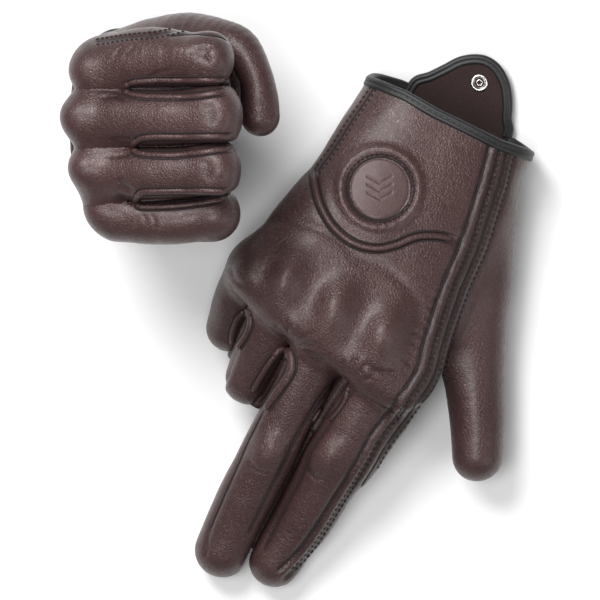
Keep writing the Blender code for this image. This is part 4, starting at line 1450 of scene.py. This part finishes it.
class Fist(Glove):
    """Standing on its cuff: fingers bent over along +X, thumb across their ends."""
    axes = (2, 1, 0)
    power = 2.4
    web = 5.0
    bars = {"pinky": 1.4, "ring": 4.0, "middle": 4.2, "index": 2.6}
    top, bottom = 34.0, -70.0
    end_round = 12.0
    low, high = (-26, -58, -97), (44, 50, 26)
    cuff_centre = (4.5, 6.5)
    cuff_direction = -1.0
    fingers = {
        "pinky": [(6.5, -39, -11, 10.8), (24, -41.0, -5, 10.0), (43.5, -38.5, -4, 10.4)],
        "ring": [(0.6, -21.5, -5, 11.9), (22, -22.9, 6, 11.1), (43.2, -21.8, 12.5, 11.0)],
        "middle": [(-2.5, -0.8, -2, 12.4), (20, -1.0, 9, 11.5), (43.5, -0.4, 16.5, 11.4)],
        "index": [(0.5, 19.0, -3, 12.6), (20, 22.3, 7, 12.4), (41.8, 21.6, 17.0, 9.7)],
    }
    curled = {
        "pinky": [(43.5, -40, -4, 8.8), (42, -39.6, -22, 8.2), (38, -39, -37, 7.7)],
        "ring": [(43.2, -21.8, 12.5, 9.8), (41, -21.5, -12, 9.4), (35, -21, -27, 8.8)],
        "middle": [(43.5, -0.4, 16.5, 11.0), (41, -0.8, -12, 10.0), (34, -0.8, -29, 9.0)],
        "index": [(41.8, 21.6, 17.0, 9.2), (38, 22.2, -12, 9.8), (31, 21.5, -28, 9.0)],
    }
    thumb = [(8, 22, -54, 13.0), (20, 26, -43, 13.0), (34, 29.5, -30, 11.6), (46, 28.5, -19, 9.7),
             (54.5, 26.0, -13, 7.9),
             (60.0, 15.5, -9, 6.8), (61.7, 6, -8, 7.5), (62.0, -0.2, -8, 7.8)]
    thumb_ball = [(40, 24, -30, 11.0), (47, 14, -28, 9.5), (48.5, 6, -28, 8.0)]
    separators = {
        ("pinky", "ring"): {"path": np.array([(13.2, -33.9), (30, -33), (48, -31.3), (56, -28)], float),
                            "low": "pinky", "crotch": 13.2, "gap": 0.3, "gap_to": 42},
        ("ring", "middle"): {"path": np.array([(12.2, -12.2), (26, -12.5), (52.4, -10.2)], float),
                             "low": "ring", "crotch": 12.2, "gap": 0.3, "gap_to": 44},
        ("middle", "index"): {"path": np.array([(9.0, 10.4), (26, 10.2), (50.2, 11.8)], float),
                              "low": "middle", "crotch": 9.0, "gap": 0.3, "gap_to": 46},
    }
    bumps = [(-8.0, 17.5, 3.5, 8.0, 3.2), (-11.5, -0.7, 4.5, 8.0, 4.0), (-8.5, -20.6, 2.0, 7.6, 3.8),
             (-3.0, -38.2, -5.0, 7.5, 2.6), (32.0, 25.5, 25.0, 6.5, 1.6), (46.0, 23.0, 25.5, 5.5, 1.4),
             (49.5, 2.5, 26.5, 7.0, 1.5), (48.0, -20.0, 22.0, 7.0, 1.5), (46.0, -40.0, 5.0, 7.0, 1.3)]
    finger_start = {"pinky": 9.0, "ring": 8.0, "middle": 6.0, "index": 5.0}

    def __init__(self):
        place = Matrix.Translation(Vector((-83.3, 35.9, 96.3))) @ Matrix.Rotation(PAIR_TURN, 4, "Z")
        super().__init__("fist", place)
        self.sections = smooth_line([(-100, 4.5, 6.5, 30.5, 16.7), (-80, 4, 6, 30.5, 17),
                                     (-60, 1.5, 5, 32.5, 17.3),
                                     (-35, -3, 4, 36.5, 16.5), (-15, -6.5, 4, 38.5, 15),
                                     (0, -8.5, 4, 38.5, 13.5),
                                     (10, -8.5, 4, 38, 13)])
        self.top_seam = smooth_line([(-2, 29.0), (8, 30.6), (18, 31.4), (27, 33), (35, 35.2)])
        self.end_seam = smooth_line([(27, 31.2), (34, 31.9), (40, 31.7), (46, 30.6), (50.5, 28.2)])
        self.creases = [(smooth_line(path), depth, width) for path, depth, width in (
            ([(10.5, 5.5), (4, 7.2), (-3, 6.0)], 0.5, 1.0),
            ([(9.5, 8.0), (2, 9.6), (-4, 9.2)], 0.45, 1.0),
            ([(12, -15), (5, -16.5), (0, -15.6)], 0.35, 0.9),
            ([(12.5, -9.5), (6, -9.2), (1, -10.4)], 0.35, 0.9),
            ([(12, -30.2), (7, -27.2), (6, -24.0)], 0.55, 1.2),
            ([(12.6, -35.0), (8, -33.0), (4.5, -31.0)], 0.5, 1.2),
            ([(9.5, 27.5), (6.5, 25.2), (3.5, 21.5)], 0.35, 0.9),
            ([(13.5, 27.6), (10.0, 24.6), (7.8, 21.5)], 0.3, 0.9),
            ([(16, 13.4), (22, 16.5), (30, 18.4)], 0.35, 1.0),
            ([(19, 12.6), (27, 14.4), (35, 14.2)], 0.3, 0.9),
            ([(38, 5.8), (33, 6.5), (29, 5.9)], 0.3, 0.9),
            ([(39.4, 27.5), (39.8, 23.5), (38.8, 19.5)], 0.9, 2.6),
            ([(41.5, 5.0), (43, 0), (41.6, -5)], 0.5, 2.4),
            ([(40.5, -17), (41.8, -22), (40.6, -27)], 0.5, 2.4),
            ([(15, -38.5), (17, -42), (16, -46)], 0.3, 0.8),
            ([(18.5, -38.5), (20.4, -42), (19.6, -46)], 0.25, 0.8))]

    def past_crotch(self, points, line):
        return np.minimum(points[:, 0] - line["crotch"], points[:, 2] + 24.0)

    def past_end(self, points):
        return points[:, 2] - np.interp(points[:, 1], (-48, -38, -20, 0, 22, 40), (-9, -3, 4, 7, 6, -4))

    def palm(self, points):
        return hand_body(points, self)

    def cut(self, points):
        """Positive on the hand's side of where the fingers begin."""
        root = np.interp(points[:, 1], (-45, -33.9, -12.2, 10.4, 30), (7, 9.5, 8.5, 5.5, 3))
        return root + 0.9 * np.maximum(-4.0 - points[:, 2], 0) - points[:, 0]

    def relief(self, points, normals):
        plan = points[:, :2]
        top = smooth((normals[:, 2] + 0.1) / 0.5)
        lift = value_noise(points, 16, 3) * 0.3 + value_noise(points, 6.5, 5) * 0.15
        cavity = np.zeros(len(points))
        # Knuckle and joint bumps are raised, with a highlight painted on each.
        for *centre, radius, height in self.bumps:
            r = ((points - centre) ** 2).sum(1) / radius ** 2
            lift += height * np.exp(-r)
            cavity -= 0.3 * np.exp(-r)
        # The seams across the top sink, with shade painted along them.
        for line, depth, width in ((self.top_seam, 0.7, 0.9), (self.end_seam, 0.6, 0.7)):
            d, _ = line_distance(plan, line)
            shape = np.exp(-(d / width) ** 2) * top
            lift -= depth * shape
            cavity += 0.8 * shape
        # Creases, with shade painted in them.
        for line, depth, width in self.creases:
            d, share = line_distance(plan, line)
            shape = np.exp(-(d / width) ** 2) * smooth(share * 5) * smooth((1 - share) * 3) * top
            lift -= depth * shape
            cavity += min(0.5, depth) * shape
        # The welt, the side seam and the patch, with their painted shade and highlight.
        back = self.to_back(points)
        extra, dark = POINTING.back_seams(back[:, :2], smooth((back[:, 2] - 22) / 5))
        return lift + extra, cavity + dark

    def cuff_edge(self, points):
        return np.full(len(points), -94.6)

    @staticmethod
    def to_back(points):
        """The same points in the frame of the back of the hand, laid out as the pointing glove's plan."""
        return np.column_stack([points[:, 1] + 22, -points[:, 2] - 4, 24 - points[:, 0]])

    @staticmethod
    def from_back(points):
        return np.column_stack([24 - points[:, 2], points[:, 0] - 22, -points[:, 1] - 4])


class FistBack(Glove):
    """The fist laid out on the back of its hand, for what is sewn there."""
    axes = (1, 0, 2)
    top, bottom = 50.0, 10.0

    def __init__(self, fist):
        turn = Matrix(((0, 0, -1, 24), (1, 0, 0, -22), (0, -1, 0, -4), (0, 0, 0, 1)))
        super().__init__("fist", fist.place @ turn)
        self.fist = fist
        self.badge_at = POINTING.badge_at

    def palm(self, points):
        return self.fist.palm(Fist.from_back(points))

    def relief(self, points, normals):
        turned_normals = np.column_stack([-normals[:, 2], normals[:, 0], -normals[:, 1]])
        return self.fist.relief(Fist.from_back(points), turned_normals)


def fist_motion(glove, name):
    first = glove.fingers[name][0]
    start = np.array([glove.finger_start[name], first[1], first[2] + 4], float)
    return ("hands", f"fist_{name}", start, start + np.array([20.0, 0, 7.0]))


def add_fist_fourchettes(glove):
    ring, pinky = fist_motion(glove, "ring"), fist_motion(glove, "pinky")
    add_fourchette(glove, "middle_index", [(8, 10.5, 2), (26, 10.2, 3), (50, 11.6, 4)], "hands", 6, 14)
    add_fourchette(glove, "ring_middle", [(11, -12.2, -1), (26, -12.5, 0), (50, -10.6, 2)], "hands", 6, 14)
    add_fourchette(glove, "pinky_ring", [(12, -34, -8), (30, -33, -7), (50, -30.5, -6)], ring, 6, 14)
    for name, path in (("middle_index", [(11, 12.5), (9.2, 11.6), (8.5, 10.3), (9.2, 9.0), (10.8, 8.1)]),
                       ("ring_middle", [(14.2, -9.5), (12.2, -10.9), (11.7, -12.4), (12.2, -13.9),
                                        (14, -15.1)]),
                       ("pinky_ring", [(16, -30.5), (13.6, -32), (12.9, -33.6), (13.4, -35.1), (15, -36)])):
        add_roll(glove, f"{name}_crotch_roll", smooth_line(path), "hands", 2.8, 2.2, 0.2)
    for name, finger, plan, motion in (
            ("index_inner", "index", [(9.3, 10.9), (11.2, 12.6), (17, 13.2), (30, 13.4), (49, 13.6)],
             "hands"),
            ("middle_outer", "middle", [(9.2, 10.1), (10.8, 8.2), (18, 7.2), (34, 7.0), (48, 8.6)],
             "hands"),
            ("middle_inner", "middle", [(12.4, -11.6), (14.4, -9.5), (20, -8.6), (36, -8.7), (51, -8.6)],
             "hands"),
            ("ring_outer", "ring", [(12.3, -13), (14, -15.2), (26, -16.1), (40, -14.8), (50, -13.6)], ring),
            ("ring_inner", "ring", [(13.6, -32.4), (16, -30.4), (30, -30.2), (49, -30.0)], ring),
            ("pinky_outer", "pinky", [(13.4, -34.4), (15, -36), (26.2, -35.9), (38, -34.8), (47.5, -33.2)],
             pinky)):
        add_edge(glove, name, finger, plan, motion, 2.8)


def add_fist_finger(glove, name, chain):
    lifts = name in ("ring", "pinky")
    mesh = raised(finger_mesh(glove, name), glove.relief)
    motion = fist_motion(glove, name) if lifts else "hands"
    add_skin(glove, f"{name}_stall_leather", mesh, motion, (f"{name}_stall",))
    centre = np.array(chain[-1][:3]) + np.array([3.0, 0, 7.0])
    add_knuckle_cap(glove, name, mesh, centre, f"fist_{name}" if lifts else "hands")
    if lifts:
        add_root_tube(glove, name)
    add_curled_tip(glove, name, f"fist_{name}_end" if lifts else "hands")


def add_fist_thumb(glove):
    def shape(points):
        return soft_min(limb(points, glove.thumb), limb(points, glove.thumb_ball), 3)

    low, high = limb_box(glove.thumb, 3)
    thumb = raised(net(shape, low, high, STEP), glove.plain_relief)
    motion = ("hands", "fist_thumb", (12, 24, -50), (36, 30, -28))
    add_skin(glove, "thumb_stall_leather", thumb, motion, ("thumb_stall",))


def add_fist_tab(glove):
    """The closed tab lying on the inside of the wrist, and the stud that it snaps on."""
    across = Matrix(((0, 0, -1, 0), (1, 0, 0, 0), (0, -1, 0, 0), (0, 0, 0, 1)))
    add_tab(glove, across @ Matrix.Translation(TAB_ROOT) @ Matrix.Rotation(math.radians(-175.0), 4, "X"))
    foot = Matrix.Translation(Vector((22.0, 19.0, -75.6))) @ Matrix.Rotation(math.radians(90), 4, "Y")
    profile = [(0.0, -0.6), (4.8, -0.6), (5.0, 0.0), (4.4, 0.5), (2.4, 0.7), (2.1, 1.2), (2.4, 1.6),
               (1.6, 2.0),
               (0.0, 2.1)]
    add_piece(glove, "snap_stud_metal", moved(turned(profile, (0, 0, 0)), foot), "metal", "hands",
              ("snap_stud",),
              kept_normals=False)


def build_fist():
    glove = Fist()
    back_view = FistBack(glove)

    def flat(points):
        return Fist.to_back(points)[:, :2]

    def on_back(points):
        return 24 - points[:, 0] - np.interp(-points[:, 2], (-10, 45, 60, 96), (22, 22, 27, 27))

    body = net(lambda p: whole_field(p, glove), glove.low, glove.high, STEP)
    body = clip(body, glove.cut)
    body = raised(clip(body, lambda p: p[:, 2] - glove.cuff_edge(p)), glove.relief)
    back = add_panels(glove, body, on_back, flat)
    guard = clip(clip(back, lambda p: p[:, 2] + 24), lambda p: -2 - p[:, 2])
    add_guard(glove, "knuckle_guard_shell", guard, "hands", ("knuckle_guard",))
    add_back_trim(back_view, POINTING.welt, back_view.palm)
    for number, offset in enumerate((-1.2, 1.2), 1):
        add_stitch_row(glove, f"top_stitches_{number}", shifted_line(glove.top_seam, offset), "hands",
                       pitch=2.2)
    # A dark cord paints the shadow line of the seam over the index finger's end.
    add_seam_shade_line(glove, "index_end_seam", glove.end_seam, "hands")
    for name, chain in glove.fingers.items():
        add_fist_finger(glove, name, chain)
    add_fist_fourchettes(glove)
    add_fist_thumb(glove)
    add_cuff_binding(glove)
    add_fist_tab(glove)


build_fist()


# ---------------------------------------------------------------- stage, light and camera

VIEW_CENTRE = Vector((0.0163, -0.0017, 0.0))
VIEW_WIDTH = 0.24
LENS, SENSOR = 1000.0, 36.0


def add_light(name, place, target, size, power, colour=(1, 1, 1)):
    data = bpy.data.lights.new(name, "AREA")
    data.shape = "DISK"
    data.size = size
    data.energy = power
    data.color = colour
    lamp = bpy.data.objects.new(name, data)
    bpy.context.scene.collection.objects.link(lamp)
    lamp.location = place
    lamp.rotation_mode = "QUATERNION"
    lamp.rotation_quaternion = (Vector(target) - Vector(place)).to_track_quat("-Z", "Y")
    lamp.visible_camera = False


def add_stage():
    half = 30.0
    data = bpy.data.meshes.new("floor")
    data.from_pydata([(-half, -half, 0), (half, -half, 0), (half, half, 0), (-half, half, 0)], [],
                     [(0, 1, 2, 3)])
    floor = bpy.data.objects.new("floor", data)
    bpy.context.scene.collection.objects.link(floor)
    made, tree, shader, place = start_material("floor_white")
    tone = node(tree, "ShaderNodeTexNoise", {"Vector": place, "Scale": 2.0})
    tree.links.new(mix_colour(tree, tone.outputs["Fac"], (0.93, 0.93, 0.93, 1), (0.95, 0.95, 0.95, 1)),
                   shader.inputs["Base Color"])
    shader.inputs["Roughness"].default_value = 0.9
    shader.inputs["Specular IOR Level"].default_value = 0.1
    data.materials.append(made)
    world = bpy.data.worlds.new("studio")
    bpy.context.scene.world = world
    world.use_nodes = True
    world.node_tree.nodes["Background"].inputs["Color"].default_value = (1, 1, 1, 1)
    world.node_tree.nodes["Background"].inputs["Strength"].default_value = 0.17


def add_camera():
    """Straight down on the pair, square to the fist's fingers."""
    data = bpy.data.cameras.new("camera")
    data.lens = LENS
    data.sensor_width = SENSOR
    distance = VIEW_WIDTH / 2 / (SENSOR / 2 / LENS)
    data.clip_start, data.clip_end = 0.1, distance * 4
    camera = bpy.data.objects.new("camera", data)
    bpy.context.scene.collection.objects.link(camera)
    camera.matrix_world = Matrix.Translation(VIEW_CENTRE + Vector((0, 0, distance))) @ Matrix.Rotation(
        PAIR_TURN, 4, "Z")
    bpy.context.scene.camera = camera


add_stage()
add_light("key", (-0.45, 0.33, 0.85), (0, 0, 0.03), 0.5, 9.5)
add_light("fill", (0.8, -0.1, 0.6), (0, 0, 0.03), 0.6, 2)
add_light("top", (-0.1, -0.2, 1.2), (0, 0, 0.0), 0.5, 7)
add_camera()
bpy.context.scene.view_settings.view_transform = "Standard"
